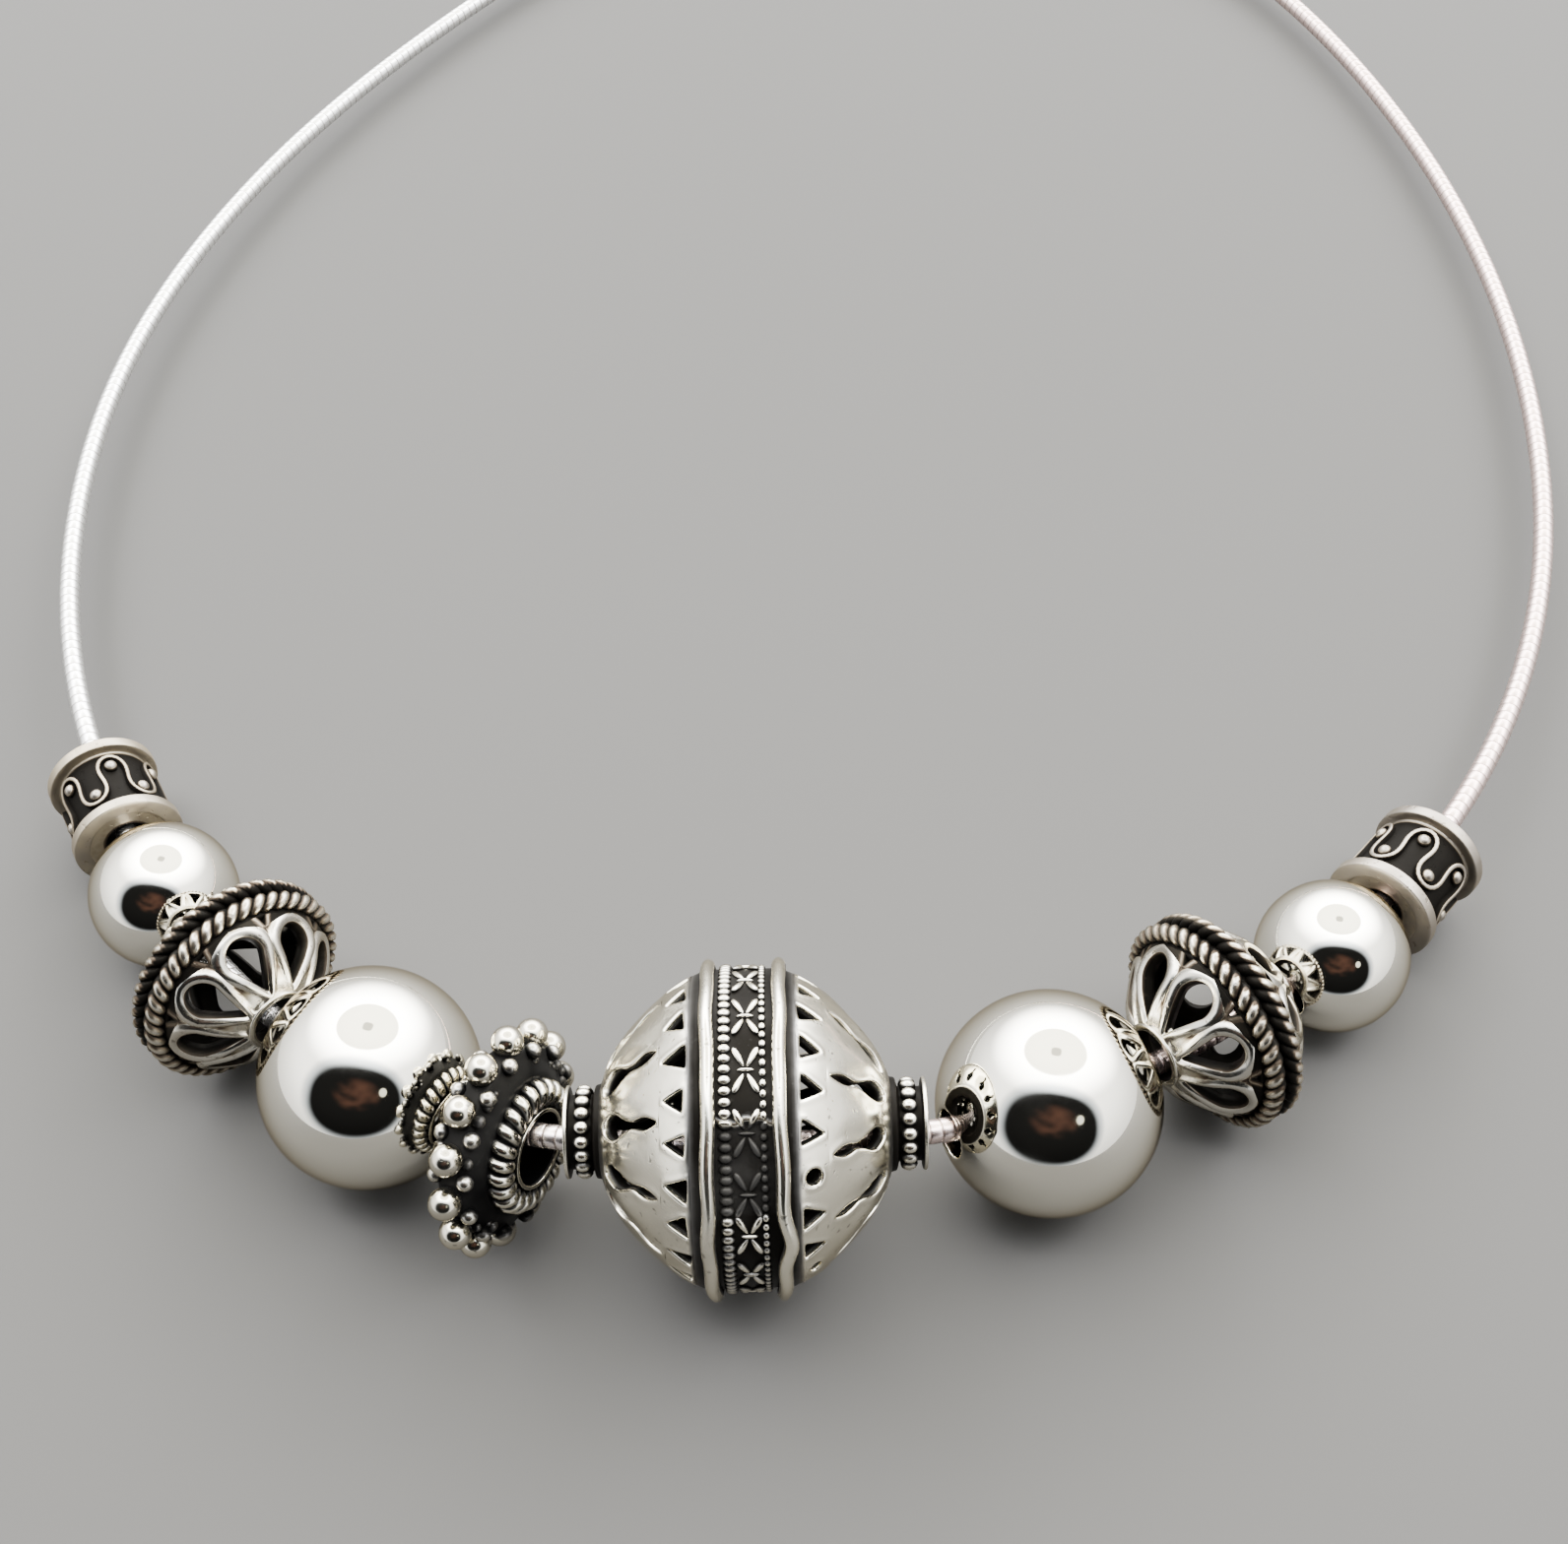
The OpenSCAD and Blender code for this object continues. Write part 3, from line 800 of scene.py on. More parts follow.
def pierced_row(centres, holes, polar, border, radius, wall, relief=raised_rim, groove=0.0):
    """One row of cells: border + share * (hole - border) in angles, at radius + relief on the face, and at
    radius - depth in the hole and inside. The holes are (cells, points, 2) in millimetres, x towards the band
    and y around. The groove is how dark the metal is where the relief is lowest."""
    per_mm = math.degrees(1 / radius)
    hole_polar = polar + holes[..., 0] * per_mm
    hole_around = holes[..., 1] * per_mm / np.sin(np.radians(hole_polar))
    hole = np.stack([hole_around, hole_polar], -1)
    share = np.array(RIM_SHARES + WALL_SHARES)[:, None]
    depth = wall * np.array([0] * len(RIM_SHARES) + WALL_DEPTHS)[:, None]
    angles = border + share[..., None] * (hole[:, None] - border)
    flat = np.array([math.sin(math.radians(polar)), 1]) / per_mm
    edge = np.concatenate([hole, (hole + np.roll(hole, 1, 1)) / 2], 1) * flat
    from_edge = np.linalg.norm(angles[:, :, :, None] * flat - edge[:, None, None], axis=-1).min(-1)
    height = np.where(depth > 0, -depth, relief(from_edge))
    points = on_sphere(radius + height, angles[..., 1], angles[..., 0] + centres[:, None, None])
    shade = np.maximum(ease(depth, 0.05, 0.4) + 0 * height, groove * ease(-height, -0.02, 0.055))
    cells = [outward(skin(p, tarnish=t)) for p, t in zip(points, shade)]
    return join(*cells)


def jittered(shape, count, turn, grow, shift):
    """The same hole sawn count times by hand: each a little turned, resized and off its mark."""
    a = np.radians(chance.uniform(-turn, turn, count))
    spin = np.array([[np.cos(a), -np.sin(a)], [np.sin(a), np.cos(a)]])
    size = chance.uniform(1 - grow, 1 + grow, (count, 1, 2))
    return np.einsum("ijc,nj->cni", spin, shape) * size + chance.uniform(-shift, shift, (count, 1, 2))


print("rows in a cell:", len(RIM_SHARES + WALL_SHARES))

# %% [markdown]
# A finished dome is pressed and blackened by where its points lie, so two small functions read their angles
# back. The plain rings beside the cells need the same number of points round the axis as the cells have.

# %% Angles and plain rings
def azimuth(points):
    return np.degrees(np.arctan2(points[:, 1], points[:, 0])) % 360


def polar_place(points):
    """Distance of each point from the origin, and its angle from the pole in degrees."""
    r = np.linalg.norm(points, axis=1)
    return r, np.degrees(np.arccos(np.clip(points[:, 2] / r, -1, 1)))


def ring_skin(profile, cols=DOME_COLS):
    """Open strip of surface round the axis, with points that meet the cells' borders."""
    return outward(skin(around_z(profile[:, :1], np.radians(round_angles(cols)), profile[:, 1:])))


print("top of a dome: %.0f degrees from the pole" % polar_place(np.array([[0, 0, DOME_R]]))[1][0])

# %% [markdown]
# A dome is its row of triangles, its row of keyhole slits, a plain ring by the band and the pole with its
# hole. Where the dome meets the band the oxide has stayed, so the tarnish rises there; towards the pole it
# rises too, as painted shade.

# %% The domes
TRIANGLE_AT, SLIT_AT = 60.9, 38.2
ROW_LOW, ROW_MID, ROW_HIGH, DOME_EDGE = 19.5, 54.9, 66.4, 71.0


def dome(narrow=1.0, odd_holes=()):
    """Its middle is DOME_SHIFT behind the bead's, which makes the two domes meet in a slight point. The
    sheet is pressed in a little along every slit and swells between them."""
    triangles = jittered(TRIANGLE, TRIANGLES, turn=8, grow=0.14, shift=0.05)
    bend = np.radians(round_angles(len(TRIANGLE)))
    for i, (tall, wide) in odd_holes:
        triangles[i] = np.stack([tall * np.cos(bend), wide * np.sin(bend)], -1)
    slits = jittered(SLIT * [1, narrow], SLITS, turn=7, grow=0.07, shift=0.06)
    upper_border = cell_border(180 / TRIANGLES, ROW_MID, ROW_HIGH, 8, 6)
    lower_border = cell_border(180 / SLITS, ROW_LOW, ROW_MID, 16, 12)
    upper = pierced_row(round_angles(TRIANGLES, 0.5), triangles, TRIANGLE_AT, upper_border, DOME_R, DOME_WALL)
    lower = pierced_row(round_angles(SLITS), slits, SLIT_AT, lower_border, DOME_R, DOME_WALL)
    inner_r, flat, floor_at = DOME_R - DOME_WALL, DOME_END + DOME_SHIFT, DOME_END + DOME_SHIFT - 0.6
    polar = np.radians([ROW_HIGH, 67.5, 69.0, DOME_EDGE, DOME_EDGE, 69.0, ROW_HIGH])
    ring_r = np.array([DOME_R] * 4 + [inner_r] * 3)
    rim = np.stack([ring_r * np.sin(polar), ring_r * np.cos(polar)], 1)
    low = math.radians(ROW_LOW)
    pole = np.array([
        [DOME_R * math.sin(low), DOME_R * math.cos(low)],
        [math.sqrt(DOME_R**2 - flat**2), flat], [COLLAR_BORE, flat],
        [COLLAR_BORE, floor_at], [math.sqrt(inner_r**2 - floor_at**2), floor_at],
        [inner_r * math.sin(low), inner_r * math.cos(low)],
    ])
    made = weld(join(upper, lower, ring_skin(rim), ring_skin(pole)))
    r, from_pole = polar_place(made.points)
    band_side = ease(from_pole, 63.0, 68.4) * 0.9
    # Painted shade: the dome darkens towards its pole.
    painted_pole_shade = ease(-from_pole, -26, -19) * 0.6
    inside = ease(-r, -(DOME_R - 0.06), -(DOME_R - 0.35))
    pressed = 0.009 * np.cos(SLITS * np.radians(azimuth(made.points)))
    flatter = 1 - 0.02 * bell(from_pole, 42, 15) - pressed * bell(from_pole, 36, 11)
    shade = np.maximum.reduce([made.tarnish, band_side, painted_pole_shade, inside])
    return made._replace(points=made.points * flatter[:, None] - [0, 0, DOME_SHIFT], tarnish=shade)


right_dome = dome(narrow=0.8, odd_holes=[(12, (0.55, 0.5)), (15, (0.36, 0.62))])
centre_domes = join(turned_part(right_dome, turn_z(20)), mirrored(turned_part(dome(), turn_z(7))))
print("domes:", len(centre_domes.quads), "quads")

# %% [markdown]
# ## The band of the centre bead
# The band is built up in wire and stamped pieces on a dark strip: two half-round ridges, a coarse and a fine
# beaded wire, and a row of crosses with a short bar through each. The ridges were pressed by hand, so they
# waver, and the strip's end laps over its start with a bright step.

# %% Ridges, beaded wires and crosses
RIDGE_RING, RIDGE_HIGH, RIDGE_WIDE, STRIP_R = 9.53, 0.55, 0.43, 9.3
SWERVE_AT = 247.0


def ridge(at, waver, swerve):
    """Ring whose place along the bead waves a little: at + waver * three sines + a bell where it was bent."""
    angles = round_angles(240)
    a = np.radians(angles)
    wave = waver * (np.sin(3 * a + 1) + 0.6 * np.sin(7 * a) + 0.5 * np.sin(13 * a + 2))
    wave += swerve * bell(angles, SWERVE_AT, 8)
    path = around_z(RIDGE_RING + 0.2 * wave, a, at + wave)
    section = np.array([RIDGE_HIGH, RIDGE_WIDE]) * round_section(1.0, 18)
    return sweep(path, around_z(1, a, 0), section, closed=True, tarnish=1 - ease(section[:, 0], 0.0, 0.32))


def beaded_wire(count, stretch, z):
    """A ring of granules that nearly touch. Their half sizes are given outward, round and along the bead."""
    bead = granule(1.0, foot_tarnish(0.1, 1.1), cols=9, rows=5, stretch=stretch)
    return repeated(moved(bead, [STRIP_R + 0.04, 0, z]), round_angles(count))


def cross_arm(direction, where, long, wide, taper=0.3):
    """A long granule laid flat on the strip, pointing along direction and wider at its far end."""
    arm = granule(1.0, foot_tarnish(-0.2, 0.9), cols=8, rows=7, stretch=(0.2, wide, long))
    arm.points[:, 1] *= 1 + taper * arm.points[:, 2] / long
    lean = math.atan2(-direction[0], direction[1])
    turn = np.array([[1, 0, 0], [0, math.cos(lean), -math.sin(lean)], [0, math.sin(lean), math.cos(lean)]])
    return moved(turned_part(arm, turn), [STRIP_R + 0.03, where[0], where[1]])


def cross():
    """Four petals that point to the corners of an upright rectangle, and a thin bar across."""
    corners = [(-1, -1), (-1, 1), (1, -1), (1, 1)]
    petals = [cross_arm((0.84 * u, 0.46 * v), (0.76 * u, 0.2 + 0.4 * v), 0.66, 0.2) for u, v in corners]
    return join(*petals, cross_arm((0, 1), (0, 0.2), 0.5, 0.12, taper=0))


print("a cross has", len(cross().points), "points")

# %% [markdown]
# The lap, the wear and a patch of painted shade change the finished band by the angle of its points, so
# that the strip, the wires and the crosses all move together.

# %% The band of the centre bead
LAP_END, WORN_END = 204.0, 240.0


def lapped(part):
    """Lifts the strip's end over its start with a ragged step whose edge is bright, and wears the stretch
    after the step down. Below the worn stretch, painted shade darkens the lower front of the band."""
    around, z = azimuth(part.points), part.points[:, 2]
    ragged = around + 0.9 * np.sin(2.6 * z) + 0.5 * np.sin(6.5 * z + 1)
    lap = ease(around, 95, 120) * (1 - ease(ragged, LAP_END - 0.4, LAP_END + 0.4))
    worn = ease(ragged, LAP_END, LAP_END + 1.2) * (1 - ease(around, WORN_END - 7, WORN_END))
    edge = bell(ragged, LAP_END - 0.7, 0.9) * (abs(z) < 2.1)
    # Painted shade: the lower front of the band is darkened by raising its tarnish.
    painted_front_shade = 0.3 * ease(around, 236, 252) * (1 - ease(around, 300, 330))
    shade = (part.tarnish + (1 - part.tarnish) * painted_front_shade) * (1 - 0.85 * edge)
    lift = around_z(0.13 * lap - 0.17 * worn, np.radians(around), 0)
    return part._replace(points=part.points + lift, tarnish=shade + (0.86 - shade) * 0.92 * worn)


def strip():
    """The dark ring under the wires. Only its outer face is cut finely, because the ragged step is there."""
    face = [(STRIP_R, z) for z in np.linspace(-2.25, 2.25, 24)]
    rim = [(8.85, -2.3), (STRIP_R - 0.03, -2.3), *face, (STRIP_R - 0.03, 2.3), (8.85, 2.3)]
    return lathe(rim, cols=640, tarnish=0.9, step=9.0)


band_work = join(
    strip(),
    beaded_wire(95, (0.27, 0.30, 0.40), -1.0),
    beaded_wire(100, (0.19, 0.26, 0.22), 1.15),
    repeated(cross(), 245 + 21.5 * np.arange(17)),
)
centre_band = join(lapped(band_work), ridge(2.12, 0.05, 0.38), mirrored(ridge(2.0, 0.05, 0.1)))
print("band:", len(centre_band.quads), "quads")

# %% [markdown]
# ## The collars of the centre bead
# Each pole has a short neck with a ring of long granules between a base plate and a thin bright end plate.

# %% The collars
COLLAR_R, NECK_R = 2.75, 2.2


def collar():
    base, end = DOME_END, CENTRE_LEN / 2
    neck = [
        (COLLAR_BORE, base - 0.2), (COLLAR_R + 0.1, base - 0.2), (COLLAR_R, base + 0.3),
        (NECK_R, base + 0.45), (NECK_R, end - 0.28),
        (COLLAR_R, end - 0.22), (COLLAR_R, end), (COLLAR_BORE, end),
    ]

    def shade(rho, z):
        """Black, apart from the edge of the end plate."""
        return 1 - ease(rho, 2.5, 2.7) * ease(z, end - 0.26, end - 0.18) * 0.7

    grain = granule(0.41, foot_tarnish(0.2, 1.0), cols=14, rows=9, stretch=(1, 1, 1.2))
    ring = repeated(moved(grain, [NECK_R + 0.17, 0, (base + 0.3 + end - 0.35) / 2]), round_angles(18))
    return join(lathe(rounded(neck, 0.09), cols=64, tarnish=shade), ring)


centre_bead = join(centre_domes, centre_band, both_ends(collar()))
lay = on_wire(centre_at, 10.17, side=1.3, tip=1.4)
make_piece("pierced_centre_bead", centre_bead, "centre_bead", WORN_SILVER, lay)

# %% [markdown]
# ## The granulated spacer
# A drilled disc carries fourteen large granules round its rim and a small one in every valley. Each face has
# a ring wound with wire like a spring. The winding is a true helix that closes on itself: the path goes round
# the ring once while it turns about the ring's middle line twenty-four times.

# %% The granulated spacer
def wound_ring(ring_r, coil_r, wire_r, turns, tarnish, sides=8, phase=0.0):
    """Path (R + c cos b) round the axis at height c sin b, where b runs turns times as fast. The tarnish is a
    function of how far a point is from the ring's middle line, how far outward and how far up."""
    a = np.linspace(0, 2 * np.pi, turns * 14, endpoint=False)
    b = turns * a + phase
    out = around_z(np.cos(b), a, np.sin(b))
    path = around_z(ring_r, a, 0) + (coil_r - wire_r) * out
    part = sweep(path, out, round_section(wire_r, sides), closed=True)
    x, y, z = part.points.T
    aside, up = (np.hypot(x, y) - ring_r) / coil_r, z / coil_r
    return part._replace(tarnish=tarnish(np.hypot(aside, up), aside, up))


def black_torus(ring_r, radius):
    """A plain ring of round wire."""
    return lathe([ring_r, 0] + round_section(radius, 16), cols=96, tarnish=1.0)


def solder_lumps(count, low_r, high_r, height):
    """Small half-sunk lumps of solder, scattered on a face of the disc."""
    around, rho = chance.uniform(0, 360, count), chance.uniform(low_r, high_r, count)
    size = chance.uniform(0.2, 0.46, count)
    lump = granule(1.0, lambda points: 0.95 - 0.3 * ease(points[:, 2], 0.2, 1.0))
    lumps = [moved(lump._replace(points=lump.points * s), [r, 0, height]) for r, s in zip(rho, size)]
    return join(*(turned_part(part, turn_z(angle)) for part, angle in zip(lumps, around)))


def granule_spacer():
    hole, pipe_r, pipe_end, ring_r, coil_r, granule_ring, valley_ring = 2.3, 2.55, 2.6, 3.3, 0.95, 6.45, 5.75
    body = [(hole, -1.5), (4.4, -1.5), (5.9, -0.75), (5.9, 0.75), (4.4, 1.5), (hole, 1.5)]
    disc = lathe(rounded(body, 0.2), cols=112, tarnish=0.92)
    tube = rounded([(hole, -pipe_end), (pipe_r, -pipe_end), (pipe_r, pipe_end), (hole, pipe_end)], 0.06)
    pipe = lathe(tube, cols=64, tarnish=lambda rho, z: 1 - ease(abs(z), pipe_end - 0.15, pipe_end - 0.02))

    def crests(depth, out, up):
        return 1 - ease(depth, 0.82, 0.96) * ease(0.6 * out + 0.8 * up, 0.1, 0.6)

    def shoulders(points):
        return 1 - 0.62 * ease(points[:, 0] + 0.6 * points[:, 2], -0.1, 1.0)

    coil = wound_ring(ring_r, coil_r, 0.42, 24, crests, sides=10)
    coil = moved(join(coil, black_torus(ring_r, 0.6)), [0, 0, SPACER_HALF - coil_r])
    large = granule(1.0, foot_tarnish(-0.9, 0.1), cols=32, rows=18)
    small = granule(0.53, shoulders, cols=16, rows=9)
    rim = repeated(moved(large, [granule_ring, 0, 0]), round_angles(14))
    valleys = repeated(moved(small, [valley_ring, 0, 1.0]), round_angles(14, 0.5))
    half = join(coil, valleys, solder_lumps(26, 4.9, 5.8, 1.0))
    return join(disc, pipe, rim, both_ends(half))


SPACER_R = 7.45
lay = on_wire(spacer_at, seat(spacer_at, SPACER_R, 1.25), turn=-6, spin=16)
make_piece("granulated_spacer", granule_spacer(), "granule_spacer", GRANULE_SILVER, lay)

# %% [markdown]
# ## The openwork saucers
# A saucer's halves are pierced domes too, with eight teardrop petals each. Their relief is different: the
# metal round each petal is a rounded wire, and where two wires lie side by side a dark furrow is left between
# them. The border between the petals and the small rim holes zigzags, so that the two rows can nest.

# %% Petals and rim holes
SAUCER_R, CAP_R, CAP_BACK, CAP_WALL, PETALS = 7.1, 7.0, 2.2, 0.9, 8
PETAL_AT, RIM_HOLE_AT, CAP_LOW, CAP_HIGH = 37, 59.0, 16.0, 65.0
ROPE_R, ROPE_AT, ROPE_TURNS = 0.66, 0.7, 22
PETAL_HALF, PETAL_COLS = 180 / PETALS, 16

bow = np.radians(np.linspace(0, 100, 8))
PETAL = outline(two_sided([(0.95 + 1.2 * math.cos(a), 1.2 * math.sin(a)) for a in bow] + [(-2.2, 0)]), 60)
RIM_HOLE = outline(two_sided([(0.4, 0), (0.4, 0.45), (-0.6, 0)]), 44)


def nest(around):
    """Polar angle of the border: 59.3 degrees behind the middle of a petal, 53 between two petals."""
    return 59.3 - 6.3 * np.abs(around) / PETAL_HALF


def wired_rim(from_edge):
    """Low wire 0.78 wide beside the hole: its height is a sine over the width, then flat metal."""
    return 0.2 * np.sin(np.pi * np.clip(from_edge / 0.78, 0, 1)) - 0.06


def thin_rim(from_edge):
    """The same, only 0.46 wide and so low that the oxide covers it in the shade of the rope."""
    return 0.035 * np.sin(np.pi * np.clip(from_edge / 0.46, 0, 1)) - 0.06


print("petal and rim hole:", len(PETAL), "and", len(RIM_HOLE), "points")

# %% [markdown]
# A saucer is two caps back to back on a hoop, with a rope of two twisted strands on the rim of each and a
# small collar at each end of the bore.

# %% The openwork saucers
def petal_row():
    holes = jittered(PETAL, PETALS, turn=3, grow=0.05, shift=0.05)
    border = cell_border(PETAL_HALF, CAP_LOW, nest, PETAL_COLS, 14)
    return pierced_row(round_angles(PETALS), holes, PETAL_AT, border, CAP_R, CAP_WALL, wired_rim, 0.85)


def rim_row():
    holes = jittered(RIM_HOLE, PETALS, turn=8, grow=0.15, shift=0.04)
    border = cell_border(PETAL_HALF, lambda a: nest(PETAL_HALF - np.abs(a)), CAP_HIGH, PETAL_COLS, 6)
    return pierced_row(round_angles(PETALS, 0.5), holes, RIM_HOLE_AT, border, CAP_R, CAP_WALL, thin_rim, 0.9)


def cap():
    """One openwork dome, closed at its two edges. It sinks a little under the rope and is rubbed bright at
    its pole."""
    rows = [petal_row(), rim_row()]
    radii = np.array([[CAP_R - 0.06], [CAP_R - CAP_WALL]])
    for polar in np.radians([CAP_LOW, CAP_HIGH]):
        rows.append(ring_skin(radii * [math.sin(polar), math.cos(polar)], PETALS * PETAL_COLS))
    made = weld(join(*rows))
    r, from_pole = polar_place(made.points)
    outer = r > CAP_R - 0.1
    sunk = 1 - 0.04 * outer * ease(from_pole, 59.8, 60.8)
    rubbed = 1 - 0.75 * outer * ease(-from_pole, -36, -20)
    points = made.points * sunk[:, None] - [0, 0, CAP_BACK]
    return made._replace(points=points, tarnish=made.tarnish * rubbed)


def rope():
    """Two strands twisted round each other; only the crests on the outer shoulder are polished."""
    ring_r = SAUCER_R - ROPE_R

    def crests(depth, out, up):
        return 1 - 0.75 * ease(depth, 0.82, 0.95) * ease(0.7 * out + 0.7 * up, 0.2, 0.7)

    strands = [wound_ring(ring_r, ROPE_R, 0.37, ROPE_TURNS, crests, phase=phase) for phase in (0, np.pi)]
    return join(*strands, black_torus(ring_r, 0.24))


def saucer():
    end = SAUCER_LEN / 2
    hoop = rounded([(5.6, -1.35), (6.0, -1.35), (6.3, 0), (6.0, 1.35), (5.6, 1.35)], 0.1)
    collar_ring = [(1.7, end - 1.1), (2.3, end - 1.1), (2.12, end - 0.6), (2.2, end), (1.7, end)]
    tip = lathe(rounded(collar_ring, 0.12), cols=56, tarnish=lambda rho, z: 1 - ease(rho, 1.72, 1.85) * 0.95)
    half = join(cap(), tip, moved(rope(), [0, 0, ROPE_AT]))
    return join(lathe(hoop, cols=112, tarnish=1.0), both_ends(half))


for name, s, side, spin in [
    ("saucer_left", saucer_left_at, 0.1, -6),
    ("saucer_right", saucer_right_at, 0.4, 0),
]:
    lay = on_wire(s, SAUCER_R + 0.05, side=side, spin=spin)
    make_piece("openwork_" + name, saucer(), name, CAST_SILVER, lay)

# %% [markdown]
# ## The barrels
# A barrel has a pale flange at each end of a blackened drum. The wire on the drum meanders: its direction
# swings like a pendulum to more than a right angle, so every bend folds back over its granule. Adding up the
# direction's cosine and sine gives the path.

# %% The barrels
BARREL_R, DRUM_R, FLANGE_H, WAVES = 3.8, 3.1, 0.8, 6


def meander(height, swing=1.72, steps=28):
    """Angles and heights of a closed wavy line: direction = swing * cos(s), summed and scaled to fit."""
    s = 2 * np.pi * (np.arange(WAVES * steps) + 0.5) / steps
    x = np.cumsum(np.cos(swing * np.cos(s)))
    y = np.cumsum(np.sin(swing * np.cos(s)))
    y = y - (y.max() + y.min()) / 2
    return 360 * x / x[-1], y * height / y.max()


def barrel(polish, dull_and_shade):
    """Polish is how bright the wire's outer face is; the second number is how grey the flanges are, and
    how much painted shade darkens the recess at each end.
    """
    half, recess = BARREL_LEN / 2, 0.25
    bend_r = math.pi * (DRUM_R + 0.12) / (2 * WAVES)
    run = half - FLANGE_H - 0.7 - bend_r

    def shade(rho, z):
        """Grey flanges, greyer with oxide and painted shade in the recess of each end, black in the bore's
        mouth and on the drum.
        """
        # Oxide and painted shade: the recess of each end darkens beside the ball.
        recess_oxide_and_shade = dull_and_shade * ease(-rho, -2.95, -2.6) + 0.5 * ease(-rho, -1.7, -1.52)
        on_drum = ease(-abs(z), -(half - FLANGE_H - 0.02), -(half - FLANGE_H - 0.25)) * (rho < 3.7)
        return np.maximum.reduce([recess_oxide_and_shade * (rho < 3.0), on_drum, dull_and_shade - 0.1 + 0 * rho])

    side = [
        (BORE_R, -half + recess), (2.7, -half + recess), (2.7, -half), (BARREL_R, -half),
        (BARREL_R, -half + FLANGE_H), (DRUM_R, -half + FLANGE_H),
    ]
    body = lathe(rounded(side + [(rho, -z) for rho, z in side[::-1]], 0.1), tarnish=shade)
    angle, z = meander(run + bend_r)
    a = np.radians(angle)
    section = rounded([(-0.3, -0.19), (0.28, -0.15), (0.28, 0.15), (-0.3, 0.19)], 0.13)
    worn = 1 - polish * ease(section[:, 0], 0.18, 0.28)
    wire = sweep(around_z(DRUM_R + 0.1, a, z), around_z(1, a, 0), section, closed=True, tarnish=worn)
    grain = moved(granule(0.46, foot_tarnish(0.0, 1.0), cols=16, rows=9), [DRUM_R + 0.06, 0, run])
    upper = repeated(grain, round_angles(WAVES, 0.25))
    lower = repeated(mirrored(grain), round_angles(WAVES, 0.75))
    return join(body, wire, upper, lower)


for name, s, spin, polish, dull_and_shade in [
    ("barrel_left", barrel_left_at, -3, 0.45, 0.54),
    ("barrel_right", barrel_right_at, -18, 0.72, 0.4),
]:
    lay = on_wire(s, seat(s, BARREL_R + 0.2, 0.5), spin=spin)
    make_piece("serpentine_" + name, barrel(polish, dull_and_shade), name, OLD_PEWTER, lay)

# %% [markdown]
# ## The floor
# A plain floor, just under the table plane so that it never fights with the beads for the same depth. The
# mirrors need it: their lower halves show nothing else. The light tent is very bright, so a low base colour
# already renders as a pale grey.

# %% The floor
def floor_finish():
    f = new_finish("pale_floor")
    mottle = f.noise(f.place(), 9.0, detail=2.0)
    colour = f.mix(mottle, (0.0505, 0.0488, 0.0463), (0.0556, 0.0536, 0.0509))
    return f.surface(Base_Color=colour, Roughness=0.7)


FLOOR_HALF, FLOOR_Z = 3.0, -0.00003
corners = FLOOR_HALF * np.array([[-1, -1], [1, -1], [1, 1], [-1, 1]])
floor_mesh = bpy.data.meshes.new("floor")
floor_mesh.from_pydata([(x, y, FLOOR_Z) for x, y in corners.tolist()], [], [(0, 1, 2, 3)])
floor_mesh.materials.append(floor_finish())
floor = bpy.data.objects.new("floor", floor_mesh)
scene.collection.objects.link(floor)
print("floor ready")

# %% [markdown]
# ## Soft studio light
# Small mirrors are photographed in a tent of white cloth, lit from outside, with an opening on the side of
# the camera. The world stands in for the tent: white all round, a broad glow high at the back with a round
# lamp in it, and one soft-edged dark oval at the front. That oval gives every ball and granule its dark
# heart. It holds a faint warm patch and one small bright spark, and the lamp has a small dark finial in its
# middle. Rays that go straight from the camera past the floor see a plain grey instead.

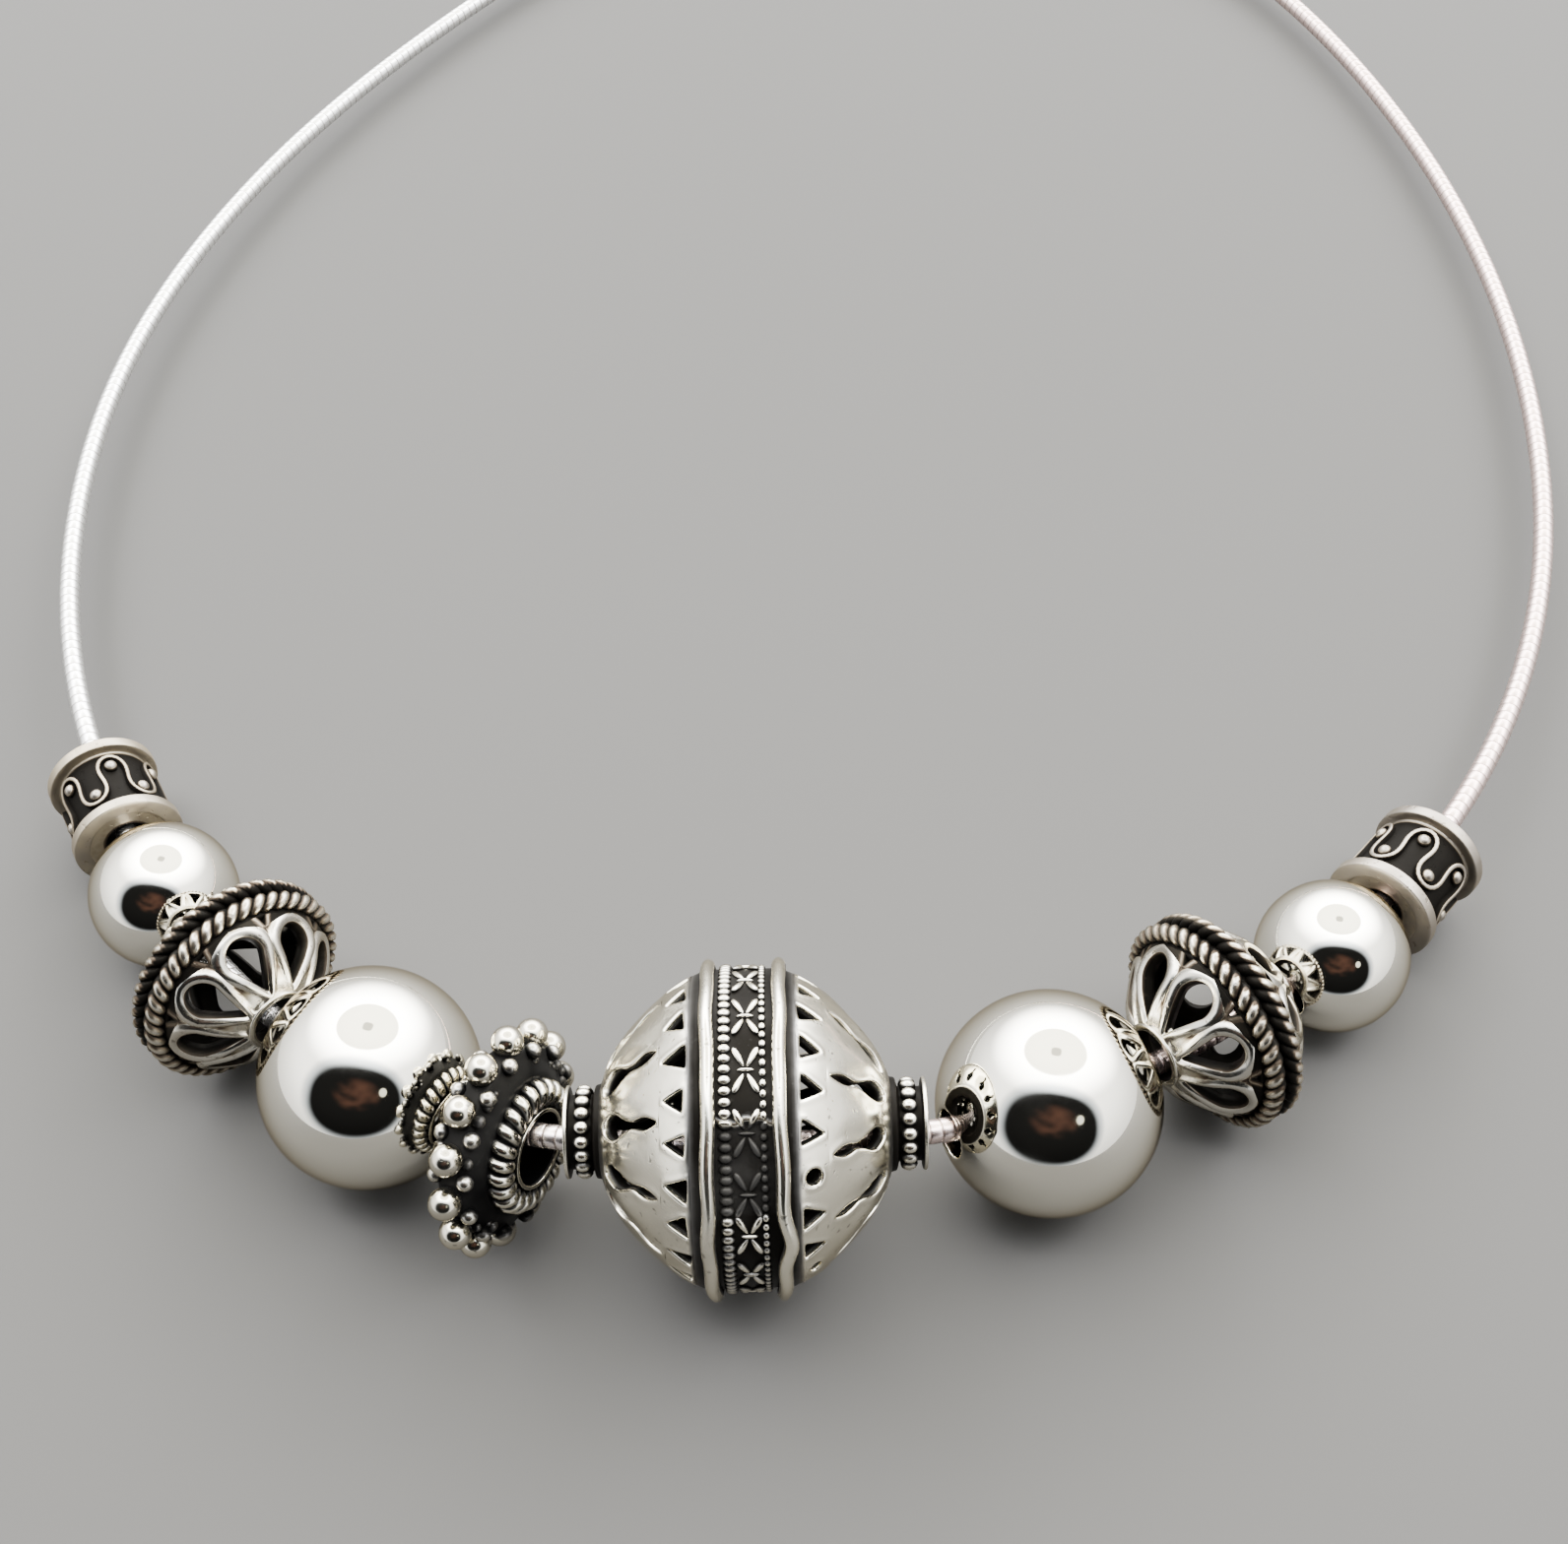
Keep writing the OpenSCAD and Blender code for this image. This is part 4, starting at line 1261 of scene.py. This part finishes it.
# %% Soft studio light
def tent():
    world = bpy.data.worlds.new("light_tent")
    scene.world = world
    f = Finish(world)
    direction = f.node("ShaderNodeTexCoord")

    def along(axis):
        """How far the direction points along an axis."""
        return f.node("ShaderNodeVectorMath", {"operation": "DOT_PRODUCT"}, {0: direction, 1: axis}, out=1)

    def oval(elevation, aside, wide, high, soft, square=1.0):
        """1 inside an oval, fading to 0 over a soft edge. Its middle is at an elevation above the front and
        aside to the right, its half sizes are angles, and a larger square squares it off."""
        e = math.radians(elevation)
        ahead = along((0, -math.cos(e), math.sin(e)))
        across = (along((1, 0, 0)) / ahead - aside) / math.tan(math.radians(wide))
        above = along((0, math.sin(e), math.cos(e))) / ahead / math.tan(math.radians(high))
        far = (across * across) ** square + (above * above) ** square
        return (1 - f.steps(far, 1 - soft, 1 + soft)) * f.steps(ahead, 0.0, 0.05)

    opening = oval(38, 0.14, 47, 37, 0.3, square=1.2)
    hem = oval(40, 0.14, 53, 43, 0.35, square=1.1)
    heart = oval(46, 0.12, 21, 14, 0.8)
    spark = oval(50, 0.62, 5, 5, 0.3)
    lamp = oval(117, 0.0, 28, 26, 0.06)
    finial = oval(116, 0.01, 4.6, 4.6, 0.3, square=1.5)
    folds = f.steps(f.noise(direction, 4.0, detail=0.5, stretch=(1, 1, 2)), 0.2, 0.75)
    cloth = f.mix(hem, (1.0, 1.0, 1.0), (0.33, 0.36, 0.40))
    dark = f.mix(heart * folds, (0.004, 0.004, 0.004), (0.036, 0.018, 0.013))
    colour = f.mix(opening, f.mix(lamp, cloth, (1.0, 0.98, 0.86)), f.mix(spark, dark, (0.5, 0.5, 0.42)))

    tilt = math.radians(58)
    key = f.steps(along((0, math.cos(tilt), math.sin(tilt))), 0.5, 0.98)
    sky = f.steps(along((0, 0, 1)), -0.1, 0.7)
    strength = (key * 20.0 + sky * 2.4 + 1.75) * (1 - lamp * 0.7) * (1 - finial * 0.7)

    straight = f.node("ShaderNodeLightPath")
    colour = f.mix(straight, colour, (0.86, 0.86, 0.86))
    strength = strength * (1 - straight) + straight
    glow = f.node("ShaderNodeBackground", {}, {"Color": colour, "Strength": strength})
    f.node("ShaderNodeOutputWorld", {}, {"Surface": glow})


tent()
print("world:", scene.world.name)

# %% [markdown]
